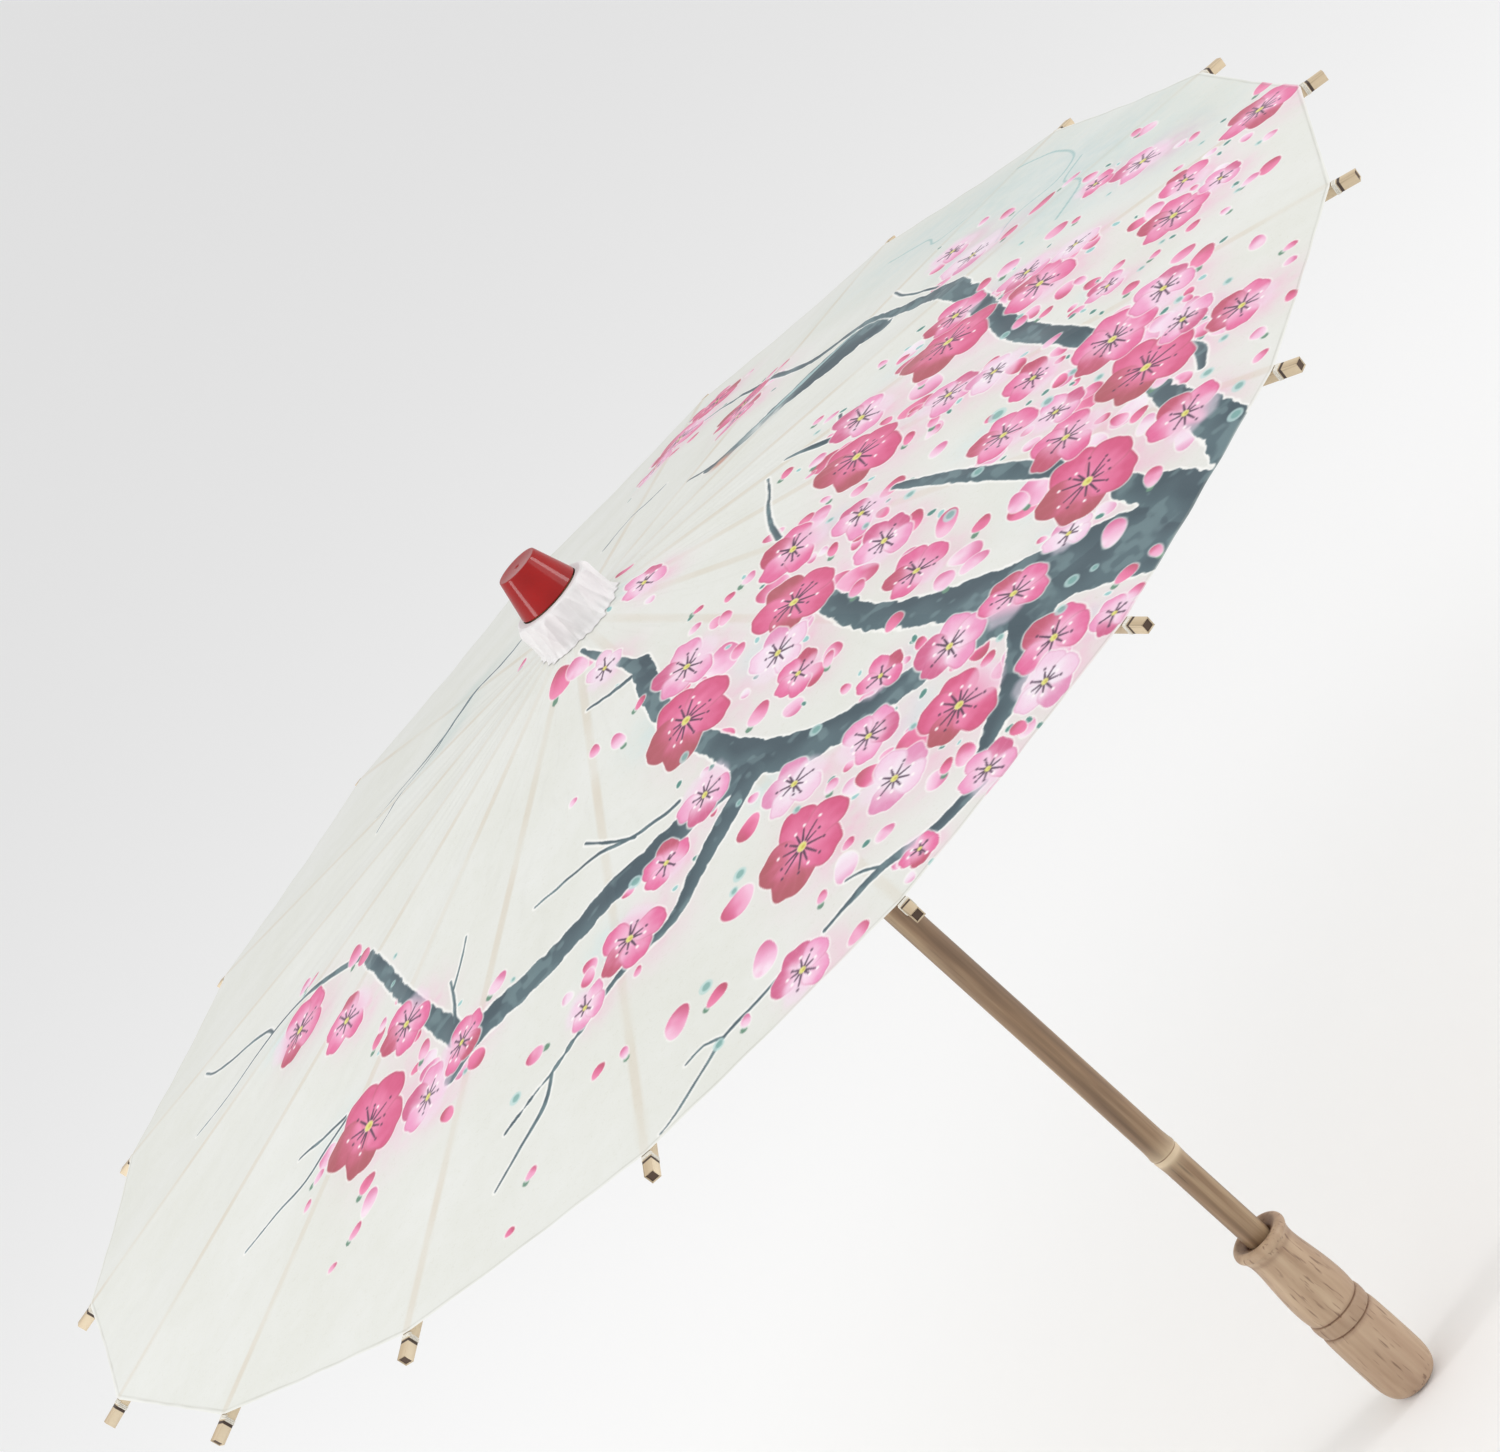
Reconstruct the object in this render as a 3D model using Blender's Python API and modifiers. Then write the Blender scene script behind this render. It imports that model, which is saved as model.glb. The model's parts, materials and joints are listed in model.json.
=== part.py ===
"""Oil paper umbrella, held open: an assembly of separate bamboo, wood, paper and thread pieces.

Units are metres, +Z is up along the shaft, and z = 0 is the flat end of the handle.
Every rib hangs from a thread through the top hub. A stretcher as long as the rib's inner half
joins the middle of each rib to a runner that slides on the shaft, so the runner stays on the
shaft's axis at every angle. Each bay of paper is glued to the tops of the ribs on its sides.
"""
import math

import bmesh
import bpy
from mathutils import Matrix, Vector

# Driving dimensions
RIB_COUNT = 18
OPEN_SLOPE = math.radians(9.5)       # ribs below the horizontal when the umbrella is open
HUB_PIVOT_Z = 0.3961                 # height of the ring of rib pivots
PIVOT_RADIUS = 0.0115                # radius of both rings of pivots, at the hub and the runner
LINK_LENGTH = 0.122                  # rib pivot to mid joint, and mid joint to runner pivot
RIB_LENGTH = 0.2795                  # rib pivot to tip
RIB_WIDTH = 0.0033
RIB_HEIGHT = 0.0033
RIB_ABOVE_PIVOT = 0.0020             # pivot line to the underside of the rib's bar
RIB_BAR_START = 0.0140               # where the full width begins
RIB_TONGUE = 0.0016                  # thickness of the rib's inner end
RIB_END_RADIUS = 0.0017
FORK_LENGTH = 0.0052                 # cheeks under the rib that hold the stretcher
FORK_DROP = 0.0016
STRETCHER_WIDTH = 0.0026
STRETCHER_HEIGHT = 0.0026
STRETCHER_TONGUE = 0.0013            # thickness of both its ends
STRETCHER_TONGUE_LENGTH = 0.0050
EYE_RADIUS = 0.00070                 # thread holes in ribs and stretchers
THREAD_RADIUS = 0.0004
PAPER_THICKNESS = 0.0006
PAPER_OVERHANG = 0.0084              # rib left bare beyond the paper's corner
PAPER_INNER_RADIUS = 0.0126
SHAFT_RADIUS = 0.0049
SHAFT_LOWER_RADIUS = 0.0048          # below the bamboo node
SHAFT_NODE_RADIUS = 0.0053
SHAFT_NODE_Z = 0.1275
SHAFT_NODE_HALF = 0.0050
HANDLE_LENGTH = 0.0823
HANDLE_BEAD_RADIUS = 0.0026
HANDLE_BORE_DEPTH = 0.045
HANDLE_END_RADIUS = 0.0075           # flat at the handle's end
HUB_RIM = 0.0020                     # hub and runner beyond their pivots
HUB_HALF_HEIGHT = 0.0050
HUB_NECK_RADIUS = 0.0100
RUNNER_ABOVE = 0.0030                # runner flange above its pivots
RUNNER_BELOW = 0.0050
RUNNER_LENGTH_BELOW = 0.0200         # pivots to the bottom of the sleeve
WRAP_BOTTOM_RADIUS = 0.0164
WRAP_TOP_RADIUS = 0.0155
WRAP_HEIGHT = 0.0120
CAP_BASE_RADIUS = 0.0117
CAP_TOP_RADIUS = 0.0079
CAP_HEIGHT = 0.0142
CAP_WALL = 0.0016
CATCH_LENGTH = 0.0240
CATCH_WIDTH = 0.0030
CATCH_PROUD = 0.0025                 # step of the catch beyond the shaft
CATCH_FOOT = 0.0020                  # thickness of the catch at its root
CATCH_ROOM = 0.0030                  # slot above the catch, which its tip swings through
# Clearances
GAP = 0.0003                         # between faces that touch on the real object
RUNNER_CLEARANCE = 0.0004            # runner bore around the shaft
TUNNEL_CLEARANCE = 0.0003            # thread tunnels around the threads
SLOT_CLEARANCE = 0.0002              # each side of a tongue in its slot
SLOT_FLOOR_CLEARANCE = 0.0010        # slot floors behind the round ends of the ribs

# Values that follow
PITCH = 2 * math.pi / RIB_COUNT
SIN, COS = math.sin(OPEN_SLOPE), math.cos(OPEN_SLOPE)
HUB_RADIUS = PIVOT_RADIUS + HUB_RIM
HUB_BODY_RADIUS = PIVOT_RADIUS - RIB_END_RADIUS - SLOT_FLOOR_CLEARANCE - GAP
HUB_SLOT = RIB_TONGUE + 2 * SLOT_CLEARANCE
RUNNER_SLOT = STRETCHER_TONGUE + 2 * SLOT_CLEARANCE
RUNNER_PIVOT_Z = HUB_PIVOT_Z - 2 * LINK_LENGTH * SIN
RIB_TOP = RIB_ABOVE_PIVOT + RIB_HEIGHT
PAPER_UNDERSIDE = RIB_TOP + GAP
PAPER_START = (PAPER_INNER_RADIUS - PIVOT_RADIUS - PAPER_UNDERSIDE * SIN) / COS
PAPER_END = RIB_LENGTH - PAPER_OVERHANG
PAPER_TOP_AT_WRAP = HUB_PIVOT_Z - PAPER_START * SIN + (PAPER_UNDERSIDE + PAPER_THICKNESS) * COS
WRAP_BOTTOM_Z = PAPER_TOP_AT_WRAP + GAP
WRAP_TOP_Z = WRAP_BOTTOM_Z + WRAP_HEIGHT
CAP_BASE_Z = WRAP_TOP_Z + GAP
CAP_TOP_Z = CAP_BASE_Z + CAP_HEIGHT
SHAFT_TOP_Z = CAP_TOP_Z - CAP_WALL - GAP
SHAFT_BOTTOM_Z = HANDLE_LENGTH - HANDLE_BORE_DEPTH + GAP
CATCH_TIP_Z = RUNNER_PIVOT_Z - RUNNER_LENGTH_BELOW - GAP
CATCH_ROOT_Z = CATCH_TIP_Z - CATCH_LENGTH

ROUND_STEPS = 24                     # sides of the turned pieces
RING_STEPS = 2 * RIB_COUNT
WIRE_STEPS = 6
EYE_STEPS = 8


def fresh_scene():
    for old in list(bpy.data.objects):
        bpy.data.objects.remove(old, do_unlink=True)
    parts = bpy.data.collections.new("oil_paper_umbrella")
    cutters = bpy.data.collections.new("cutters")
    for collection in (parts, cutters):
        bpy.context.scene.collection.children.link(collection)
    return parts, cutters


PARTS, CUTTERS = fresh_scene()


def material(name, colour, roughness):
    made = bpy.data.materials.new(name)
    made.use_nodes = True
    shader = made.node_tree.nodes["Principled BSDF"]
    shader.inputs["Base Color"].default_value = (*colour, 1.0)
    shader.inputs["Roughness"].default_value = roughness
    shader.inputs["Metallic"].default_value = 0.0
    return made


BAMBOO = material("pale_bamboo", (0.62, 0.50, 0.33), 0.55)
SHAFT_BAMBOO = material("brown_bamboo", (0.36, 0.26, 0.15), 0.50)
TURNED_WOOD = material("turned_wood", (0.42, 0.27, 0.18), 0.55)
HUB_WOOD = material("hub_wood", (0.50, 0.38, 0.24), 0.60)
RED_LACQUER = material("red_lacquer", (0.42, 0.01, 0.005), 0.20)
OILED_PAPER = material("oiled_paper", (0.78, 0.77, 0.70), 0.45)
WRAP_PAPER = material("wrap_paper", (0.82, 0.82, 0.80), 0.70)
THREAD = material("thread", (0.80, 0.78, 0.72), 0.80)


def put(mesh, name, finish, collection=PARTS):
    placed = bpy.data.objects.new(name, mesh)
    collection.objects.link(placed)
    mesh.materials.clear()
    mesh.materials.append(finish)
    return placed


def hide(cutter):
    cutter.hide_render = True
    cutter.display_type = "WIRE"
    return cutter


def boolean(target, cutter, operation="DIFFERENCE"):
    step = target.modifiers.new(cutter.name, "BOOLEAN")
    step.operation = operation
    step.object = cutter
    step.solver = "EXACT"


def evaluated_mesh(source):
    """The mesh of an object with its modifiers applied, with loose seams welded."""
    bpy.context.view_layer.update()
    found = source.evaluated_get(bpy.context.evaluated_depsgraph_get())
    mesh = bpy.data.meshes.new_from_object(found)
    work = bmesh.new()
    work.from_mesh(mesh)
    bmesh.ops.remove_doubles(work, verts=work.verts, dist=1e-6)
    work.to_mesh(mesh)
    work.free()
    return mesh


def turned(name, profile, finish, steps=ROUND_STEPS, collection=PARTS):
    """A closed turned piece from (radius, z) points that run from its top to its bottom."""
    work = bmesh.new()
    points = [work.verts.new((radius, 0.0, z)) for radius, z in profile]
    for upper, lower in zip(points, points[1:] + points[:1]):
        if upper.co.x > 0 or lower.co.x > 0:
            work.edges.new((upper, lower))
    mesh = bpy.data.meshes.new(name)
    work.to_mesh(mesh)
    work.free()
    made = put(mesh, name, finish, collection)
    screw = made.modifiers.new("turn", "SCREW")
    screw.steps = steps
    screw.render_steps = steps
    screw.use_merge_vertices = True
    screw.merge_threshold = 0.00001
    screw.use_smooth_shade = False
    return made


def box(name, low, high, finish, collection=CUTTERS):
    work = bmesh.new()
    bmesh.ops.create_cube(work, size=1.0)
    low, high = Vector(low), Vector(high)
    bmesh.ops.scale(work, vec=high - low, verts=work.verts)
    bmesh.ops.translate(work, vec=(low + high) / 2, verts=work.verts)
    mesh = bpy.data.meshes.new(name)
    work.to_mesh(mesh)
    work.free()
    return put(mesh, name, finish, collection)


def outline_plate(name, points, thickness, finish):
    """A flat outline of (along, up) points, stood upright on its edge and centred on y = 0."""
    curve = bpy.data.curves.new(name, "CURVE")
    curve.dimensions = "2D"
    curve.fill_mode = "BOTH"
    curve.extrude = thickness / 2
    spline = curve.splines.new("POLY")
    spline.points.add(len(points) - 1)
    for point, (along, up) in zip(spline.points, points):
        point.co = (along, up, 0.0, 1.0)
    spline.use_cyclic_u = True
    drawn = bpy.data.objects.new(name, curve)
    CUTTERS.objects.link(drawn)
    mesh = evaluated_mesh(drawn)
    bpy.data.objects.remove(drawn, do_unlink=True)
    mesh.transform(Matrix.Rotation(math.radians(90), 4, "X"))
    return put(mesh, name, finish, CUTTERS)


def eye_cutter(name, along, up, radius, length):
    """A rod across y at (along, up), to cut a thread hole."""
    work = bmesh.new()
    bmesh.ops.create_cone(
        work, cap_ends=True, segments=EYE_STEPS, radius1=radius, radius2=radius, depth=length
    )
    bmesh.ops.rotate(work, matrix=Matrix.Rotation(math.radians(90), 3, "X"), verts=work.verts)
    bmesh.ops.translate(work, vec=(along, 0.0, up), verts=work.verts)
    mesh = bpy.data.meshes.new(name)
    work.to_mesh(mesh)
    work.free()
    return hide(put(mesh, name, BAMBOO, CUTTERS))


def thread_ring(name, z, wire_radius, collection=PARTS):
    """A ring of thread through all the pivots at height z."""
    profile = [
        (
            PIVOT_RADIUS + wire_radius * math.cos(-2 * math.pi * (step + 0.5) / WIRE_STEPS),
            z + wire_radius * math.sin(-2 * math.pi * (step + 0.5) / WIRE_STEPS),
        )
        for step in range(WIRE_STEPS)
    ]
    return turned(name, profile, THREAD, RING_STEPS, collection)


def arc(centre, radius, start, end, steps):
    """Points on a round stretch of an outline, between two angles in degrees."""
    angles = [math.radians(start + (end - start) * step / steps) for step in range(steps + 1)]
    return [(centre[0] + radius * math.cos(a), centre[1] + radius * math.sin(a)) for a in angles]


def slot_cutter(name, width, inner_radius, low, high):
    """Star of radial blades, one for each rib, that cuts all the slots of a hub at once."""
    work = bmesh.new()
    reach = HUB_RADIUS + 4 * GAP
    for index in range(RIB_COUNT):
        blade = bmesh.ops.create_cube(work, size=1.0)["verts"]
        bmesh.ops.scale(work, vec=(reach - inner_radius, width, high - low), verts=blade)
        centre = ((reach + inner_radius) / 2, 0.0, (low + high) / 2)
        bmesh.ops.translate(work, vec=centre, verts=blade)
        bmesh.ops.rotate(work, matrix=Matrix.Rotation(index * PITCH, 3, "Z"), verts=blade)
    mesh = bpy.data.meshes.new(name)
    work.to_mesh(mesh)
    work.free()
    return hide(put(mesh, name, HUB_WOOD, CUTTERS))


# Shaft, handle and what is fixed to them


def make_shaft():
    node_low, node_high = SHAFT_NODE_Z - SHAFT_NODE_HALF, SHAFT_NODE_Z + SHAFT_NODE_HALF
    profile = [
        (0.0, SHAFT_TOP_Z),
        (SHAFT_RADIUS, SHAFT_TOP_Z),
        (SHAFT_RADIUS, node_high),
        (SHAFT_NODE_RADIUS, SHAFT_NODE_Z + SHAFT_NODE_HALF / 3),
        (SHAFT_NODE_RADIUS, SHAFT_NODE_Z - SHAFT_NODE_HALF / 3),
        (SHAFT_LOWER_RADIUS, node_low),
        (SHAFT_LOWER_RADIUS, SHAFT_BOTTOM_Z),
        (0.0, SHAFT_BOTTOM_Z),
    ]
    shaft = turned("shaft", profile, SHAFT_BAMBOO)
    slot = box(
        "catch_slot",
        (-CATCH_FOOT - GAP, -CATCH_WIDTH / 2 - GAP, CATCH_ROOT_Z - GAP),
        (2 * SHAFT_RADIUS, CATCH_WIDTH / 2 + GAP, CATCH_TIP_Z + CATCH_ROOM),
        SHAFT_BAMBOO,
    )
    boolean(shaft, hide(slot))
    return shaft


def make_handle():
    top = HANDLE_LENGTH
    bore = SHAFT_LOWER_RADIUS + GAP
    bead = arc((0.0085, top - HANDLE_BEAD_RADIUS), HANDLE_BEAD_RADIUS, 90, -50, 5)
    profile = [
        (bore, top - 0.0035),
        (bore + 0.0018, top - 0.0012),
        *bead,
        (0.0094, top - 0.0090),
        (0.0095, top - 0.0125),
        (0.0103, top - 0.0190),
        (0.0109, top - 0.0260),
        (0.01115, top - 0.0325),
        (0.0110, top - 0.0360),
        (0.0104, top - 0.0390),
        (0.0109, top - 0.0402),
        (0.0111, top - 0.0425),
        (0.0108, top - 0.0449),
        (0.0104, top - 0.0460),
        (0.0109, top - 0.0475),
        (0.0113, top - 0.0560),
        (0.0115, top - 0.0660),
        *arc((HANDLE_END_RADIUS - 0.0005, 0.0045), 0.0045, 30, -90, 5),
        (0.0, 0.0),
        (0.0, top - HANDLE_BORE_DEPTH),
        (bore, top - HANDLE_BORE_DEPTH),
    ]
    return turned("handle", profile, TURNED_WOOD)


def make_top_hub():
    bore = SHAFT_RADIUS + GAP
    low, high = HUB_PIVOT_Z - HUB_HALF_HEIGHT, HUB_PIVOT_Z + HUB_HALF_HEIGHT
    profile = [
        (bore, WRAP_TOP_Z),
        (HUB_NECK_RADIUS, WRAP_TOP_Z),
        (HUB_NECK_RADIUS, high),
        (HUB_RADIUS, high),
        (HUB_RADIUS, low),
        (HUB_BODY_RADIUS, low),
        (HUB_BODY_RADIUS, low - 2 * HUB_HALF_HEIGHT),
        (bore, low - 2 * HUB_HALF_HEIGHT),
    ]
    hub = turned("top_hub", profile, HUB_WOOD, RING_STEPS)
    slots = slot_cutter(
        "hub_slots", HUB_SLOT, HUB_BODY_RADIUS + GAP, low - GAP, high + 4 * GAP
    )
    boolean(hub, slots)
    tunnel = thread_ring(
        "hub_thread_tunnel", HUB_PIVOT_Z, THREAD_RADIUS + TUNNEL_CLEARANCE, CUTTERS
    )
    boolean(hub, hide(tunnel))
    return hub


def make_crown_wrap():
    inner = HUB_NECK_RADIUS + GAP
    profile = [
        (inner, WRAP_TOP_Z),
        (WRAP_TOP_RADIUS, WRAP_TOP_Z),
        (WRAP_BOTTOM_RADIUS, WRAP_BOTTOM_Z),
        (inner, WRAP_BOTTOM_Z),
    ]
    return turned("crown_wrap", profile, WRAP_PAPER)


def make_cap():
    """A red cup turned upside down over the end of the shaft."""
    bore = SHAFT_RADIUS + GAP
    profile = [
        (0.0, CAP_TOP_Z),
        (CAP_TOP_RADIUS - 0.0008, CAP_TOP_Z),
        (CAP_TOP_RADIUS, CAP_TOP_Z - 0.0008),
        (CAP_BASE_RADIUS, CAP_BASE_Z + 0.0010),
        (CAP_BASE_RADIUS - 0.0006, CAP_BASE_Z),
        (bore, CAP_BASE_Z),
        (bore, CAP_TOP_Z - CAP_WALL),
        (0.0, CAP_TOP_Z - CAP_WALL),
    ]
    return turned("cap", profile, RED_LACQUER)


# The folding frame


def rib_mesh():
    """A rib along +X from its pivot, with its tongue, its bar, its fork and its two eyes."""
    tongue_top = 0.0080
    outline = [
        *arc((0.0, 0.0), RIB_END_RADIUS, 110, 270, 6),
        (RIB_BAR_START + GAP, RIB_ABOVE_PIVOT),
        (RIB_BAR_START + GAP, RIB_TOP),
        (tongue_top, RIB_TOP),
    ]
    rib = outline_plate("rib_tongue", outline, RIB_TONGUE, BAMBOO)
    half = RIB_WIDTH / 2
    bar = box(
        "rib_bar", (RIB_BAR_START, -half, RIB_ABOVE_PIVOT), (RIB_LENGTH, half, RIB_TOP), BAMBOO
    )
    boolean(rib, bar, "UNION")
    fork_outline = [
        (LINK_LENGTH - FORK_LENGTH / 2, RIB_ABOVE_PIVOT + GAP),
        (LINK_LENGTH - FORK_LENGTH / 2, 0.0),
        (LINK_LENGTH - FORK_LENGTH / 4, -FORK_DROP),
        (LINK_LENGTH + FORK_LENGTH / 4, -FORK_DROP),
        (LINK_LENGTH + FORK_LENGTH / 2, 0.0),
        (LINK_LENGTH + FORK_LENGTH / 2, RIB_ABOVE_PIVOT + GAP),
    ]
    fork = outline_plate("rib_fork", fork_outline, RIB_WIDTH, BAMBOO)
    boolean(rib, fork, "UNION")
    slot_half = STRETCHER_TONGUE / 2 + GAP
    slot = box(
        "rib_fork_slot",
        (LINK_LENGTH - FORK_LENGTH, -slot_half, -2 * FORK_DROP),
        (LINK_LENGTH + FORK_LENGTH, slot_half, RIB_ABOVE_PIVOT),
        BAMBOO,
    )
    boolean(rib, slot)
    inner_eye = eye_cutter("rib_inner_eye", 0.0, 0.0, EYE_RADIUS, 2 * RIB_WIDTH)
    mid_eye = eye_cutter("rib_mid_eye", LINK_LENGTH, 0.0, EYE_RADIUS, 2 * RIB_WIDTH)
    boolean(rib, inner_eye)
    boolean(rib, mid_eye)
    mesh = evaluated_mesh(rib)
    for used in (rib, bar, fork, slot, inner_eye, mid_eye):
        bpy.data.objects.remove(used, do_unlink=True)
    return mesh


def stretcher_mesh():
    """A stretcher along +X from its outer eye to its inner eye, with a thin tongue at each end."""
    end = STRETCHER_HEIGHT / 2
    outline = [
        *arc((0.0, 0.0), end, 90, 270, 6),
        *arc((LINK_LENGTH, 0.0), end, -90, 90, 6),
    ]
    bar = outline_plate("stretcher_tongue", outline, STRETCHER_TONGUE, BAMBOO)
    half = STRETCHER_WIDTH / 2
    body = box(
        "stretcher_bar",
        (STRETCHER_TONGUE_LENGTH, -half, -end - GAP / 10),
        (LINK_LENGTH - STRETCHER_TONGUE_LENGTH, half, end + GAP / 10),
        BAMBOO,
    )
    boolean(bar, body, "UNION")
    outer_eye = eye_cutter("stretcher_outer_eye", 0.0, 0.0, EYE_RADIUS, 2 * STRETCHER_WIDTH)
    inner_eye = eye_cutter("stretcher_inner_eye", LINK_LENGTH, 0.0, EYE_RADIUS, 2 * STRETCHER_WIDTH)
    boolean(bar, outer_eye)
    boolean(bar, inner_eye)
    mesh = evaluated_mesh(bar)
    for used in (bar, body, outer_eye, inner_eye):
        bpy.data.objects.remove(used, do_unlink=True)
    return mesh


def make_ribs_and_stretchers():
    """Each rib's origin is on its pivot, and each stretcher is a child of its rib."""
    rib_shape, stretcher_shape = rib_mesh(), stretcher_mesh()
    ribs = []
    for index in range(RIB_COUNT):
        turn = index * PITCH
        rib = put(rib_shape, f"rib_{index + 1:02d}", BAMBOO)
        rib.location = (PIVOT_RADIUS * math.cos(turn), PIVOT_RADIUS * math.sin(turn), HUB_PIVOT_Z)
        rib.rotation_euler = (0.0, OPEN_SLOPE, turn)
        stretcher = put(stretcher_shape, f"stretcher_{index + 1:02d}", BAMBOO)
        stretcher.parent = rib
        stretcher.location = (LINK_LENGTH, 0.0, 0.0)
        stretcher.rotation_euler = (0.0, math.pi - 2 * OPEN_SLOPE, 0.0)
        ribs.append(rib)
    return ribs


def panel_mesh():
    """Two bays of paper in the middle rib's own frame: a ridge on it and an edge over each side rib."""
    work = bmesh.new()
    bmesh.ops.create_grid(work, x_segments=1, y_segments=2, size=0.5)
    to_rib = (
        Matrix.Translation((PIVOT_RADIUS, 0.0, HUB_PIVOT_Z)) @ Matrix.Rotation(OPEN_SLOPE, 4, "Y")
    )
    for corner in work.verts:
        along = PAPER_START if corner.co.x < 0 else PAPER_END
        side = round(2 * corner.co.y)
        over_rib = to_rib @ Vector((along, 0.0, PAPER_UNDERSIDE))
        turned_out = Matrix.Rotation(side * PITCH, 4, "Z") @ over_rib
        edge_gap = Matrix.Rotation(side * PITCH, 4, "Z") @ Vector((0.0, -side * GAP / 2, 0.0))
        corner.co = to_rib.inverted() @ (turned_out + edge_gap)
    bmesh.ops.recalc_face_normals(work, faces=work.faces)
    if sum(face.normal.z for face in work.faces) < 0:
        bmesh.ops.reverse_faces(work, faces=work.faces)
    mesh = bpy.data.meshes.new("canopy_panel")
    work.to_mesh(mesh)
    work.free()
    return mesh


def make_canopy(ribs):
    """One panel for each odd rib. Its sides end on the even ribs, next to the panels beside it."""
    shape = panel_mesh()
    for number, rib in enumerate(ribs[::2], start=1):
        panel = put(shape, f"canopy_panel_{number}", OILED_PAPER)
        panel.parent = rib
        solid = panel.modifiers.new("thickness", "SOLIDIFY")
        solid.thickness = PAPER_THICKNESS
        solid.offset = 1.0
        solid.use_even_offset = True


def make_runner():
    bore = SHAFT_RADIUS + RUNNER_CLEARANCE
    low, high = RUNNER_PIVOT_Z - RUNNER_BELOW, RUNNER_PIVOT_Z + RUNNER_ABOVE
    bottom = RUNNER_PIVOT_Z - RUNNER_LENGTH_BELOW
    profile = [
        (bore, high),
        (HUB_RADIUS, high),
        (HUB_RADIUS, low),
        (HUB_BODY_RADIUS, low),
        (HUB_BODY_RADIUS, bottom),
        (bore, bottom),
    ]
    runner = turned("runner", profile, HUB_WOOD, RING_STEPS)
    slots = slot_cutter(
        "runner_slots", RUNNER_SLOT, HUB_BODY_RADIUS + GAP, low - GAP, high + GAP
    )
    boolean(runner, slots)
    tunnel = thread_ring(
        "runner_thread_tunnel", RUNNER_PIVOT_Z, THREAD_RADIUS + TUNNEL_CLEARANCE, CUTTERS
    )
    boolean(runner, hide(tunnel))
    return runner


def make_catch():
    """A bamboo leaf in the shaft's slot, with a step at its tip that the runner stands on."""
    outline = [
        (-CATCH_FOOT, 0.0),
        (SHAFT_RADIUS - 2 * GAP, 0.0),
        (SHAFT_RADIUS + CATCH_PROUD, CATCH_LENGTH - 0.0030),
        (SHAFT_RADIUS + CATCH_PROUD, CATCH_LENGTH),
        (SHAFT_RADIUS - CATCH_FOOT - GAP, CATCH_LENGTH),
        (0.0, CATCH_FOOT),
        (-CATCH_FOOT, CATCH_FOOT),
    ]
    shape = outline_plate("catch_outline", outline, CATCH_WIDTH, BAMBOO)
    catch = put(shape.data.copy(), "latch_catch", BAMBOO)
    bpy.data.objects.remove(shape, do_unlink=True)
    catch.location = (0.0, 0.0, CATCH_ROOT_Z)
    return catch


make_shaft()
make_handle()
make_top_hub()
make_crown_wrap()
make_cap()
make_canopy(make_ribs_and_stretchers())
make_runner()
make_catch()
thread_ring("hub_thread", HUB_PIVOT_Z, THREAD_RADIUS)
thread_ring("runner_thread", RUNNER_PIVOT_Z, THREAD_RADIUS)
bpy.context.view_layer.update()
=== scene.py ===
"""Looks of the oil paper umbrella.

The paper is printed with a plum branch: the print is drawn here as brush strokes on a plan of the
canopy and carried to the paper as a colour attribute. Each bay of paper is two half bays, each glued
to the edge of one rib, and a narrow strip lies on top of every rib. A half bay rides on its rib as
the umbrella folds, and does not pleat as the real paper does.
"""
import json
import math

import bmesh
import bpy
import numpy as np
from mathutils import Matrix, Vector


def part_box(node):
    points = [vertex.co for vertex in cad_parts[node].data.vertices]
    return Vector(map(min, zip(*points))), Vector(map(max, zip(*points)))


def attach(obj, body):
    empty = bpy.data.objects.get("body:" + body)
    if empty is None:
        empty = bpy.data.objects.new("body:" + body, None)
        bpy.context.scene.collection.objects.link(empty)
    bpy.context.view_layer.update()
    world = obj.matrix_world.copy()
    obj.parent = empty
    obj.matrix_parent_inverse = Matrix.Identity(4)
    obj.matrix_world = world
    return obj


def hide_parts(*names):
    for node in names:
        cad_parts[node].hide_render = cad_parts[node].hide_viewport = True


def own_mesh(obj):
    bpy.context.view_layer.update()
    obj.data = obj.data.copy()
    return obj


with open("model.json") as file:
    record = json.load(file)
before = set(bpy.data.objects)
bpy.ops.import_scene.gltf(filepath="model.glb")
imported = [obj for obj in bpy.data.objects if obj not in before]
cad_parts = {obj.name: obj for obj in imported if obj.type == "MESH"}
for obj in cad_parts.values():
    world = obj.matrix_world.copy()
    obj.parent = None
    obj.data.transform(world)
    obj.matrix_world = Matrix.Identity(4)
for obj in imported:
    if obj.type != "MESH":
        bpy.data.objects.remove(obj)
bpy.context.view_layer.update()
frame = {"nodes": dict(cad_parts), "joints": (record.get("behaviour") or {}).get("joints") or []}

MM = 0.001
RIB_COUNT = 18
PITCH = 2 * math.pi / RIB_COUNT

# Places read from the frame
joints = {joint["name"]: joint for joint in frame["joints"]}
rib_joint, mid_joint = joints["fold"], joints["stretcher_01_turn"]
PIVOT_RADIUS, _, HUB_PIVOT_Z = rib_joint["pos_m"]
LINK_RUN = mid_joint["pos_m"][0] - PIVOT_RADIUS
LINK_DROP = HUB_PIVOT_Z - mid_joint["pos_m"][2]
LINK_LENGTH = math.hypot(LINK_RUN, LINK_DROP)
OPEN_SLOPE = math.atan2(LINK_DROP, LINK_RUN)
SIN, COS = math.sin(OPEN_SLOPE), math.cos(OPEN_SLOPE)
CAP_LOW, CAP_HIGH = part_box("cap")
WRAP_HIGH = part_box("crown_wrap")[1]
HANDLE_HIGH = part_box("handle")[1]
SHAFT_LOW, SHAFT_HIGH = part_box("shaft")

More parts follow.
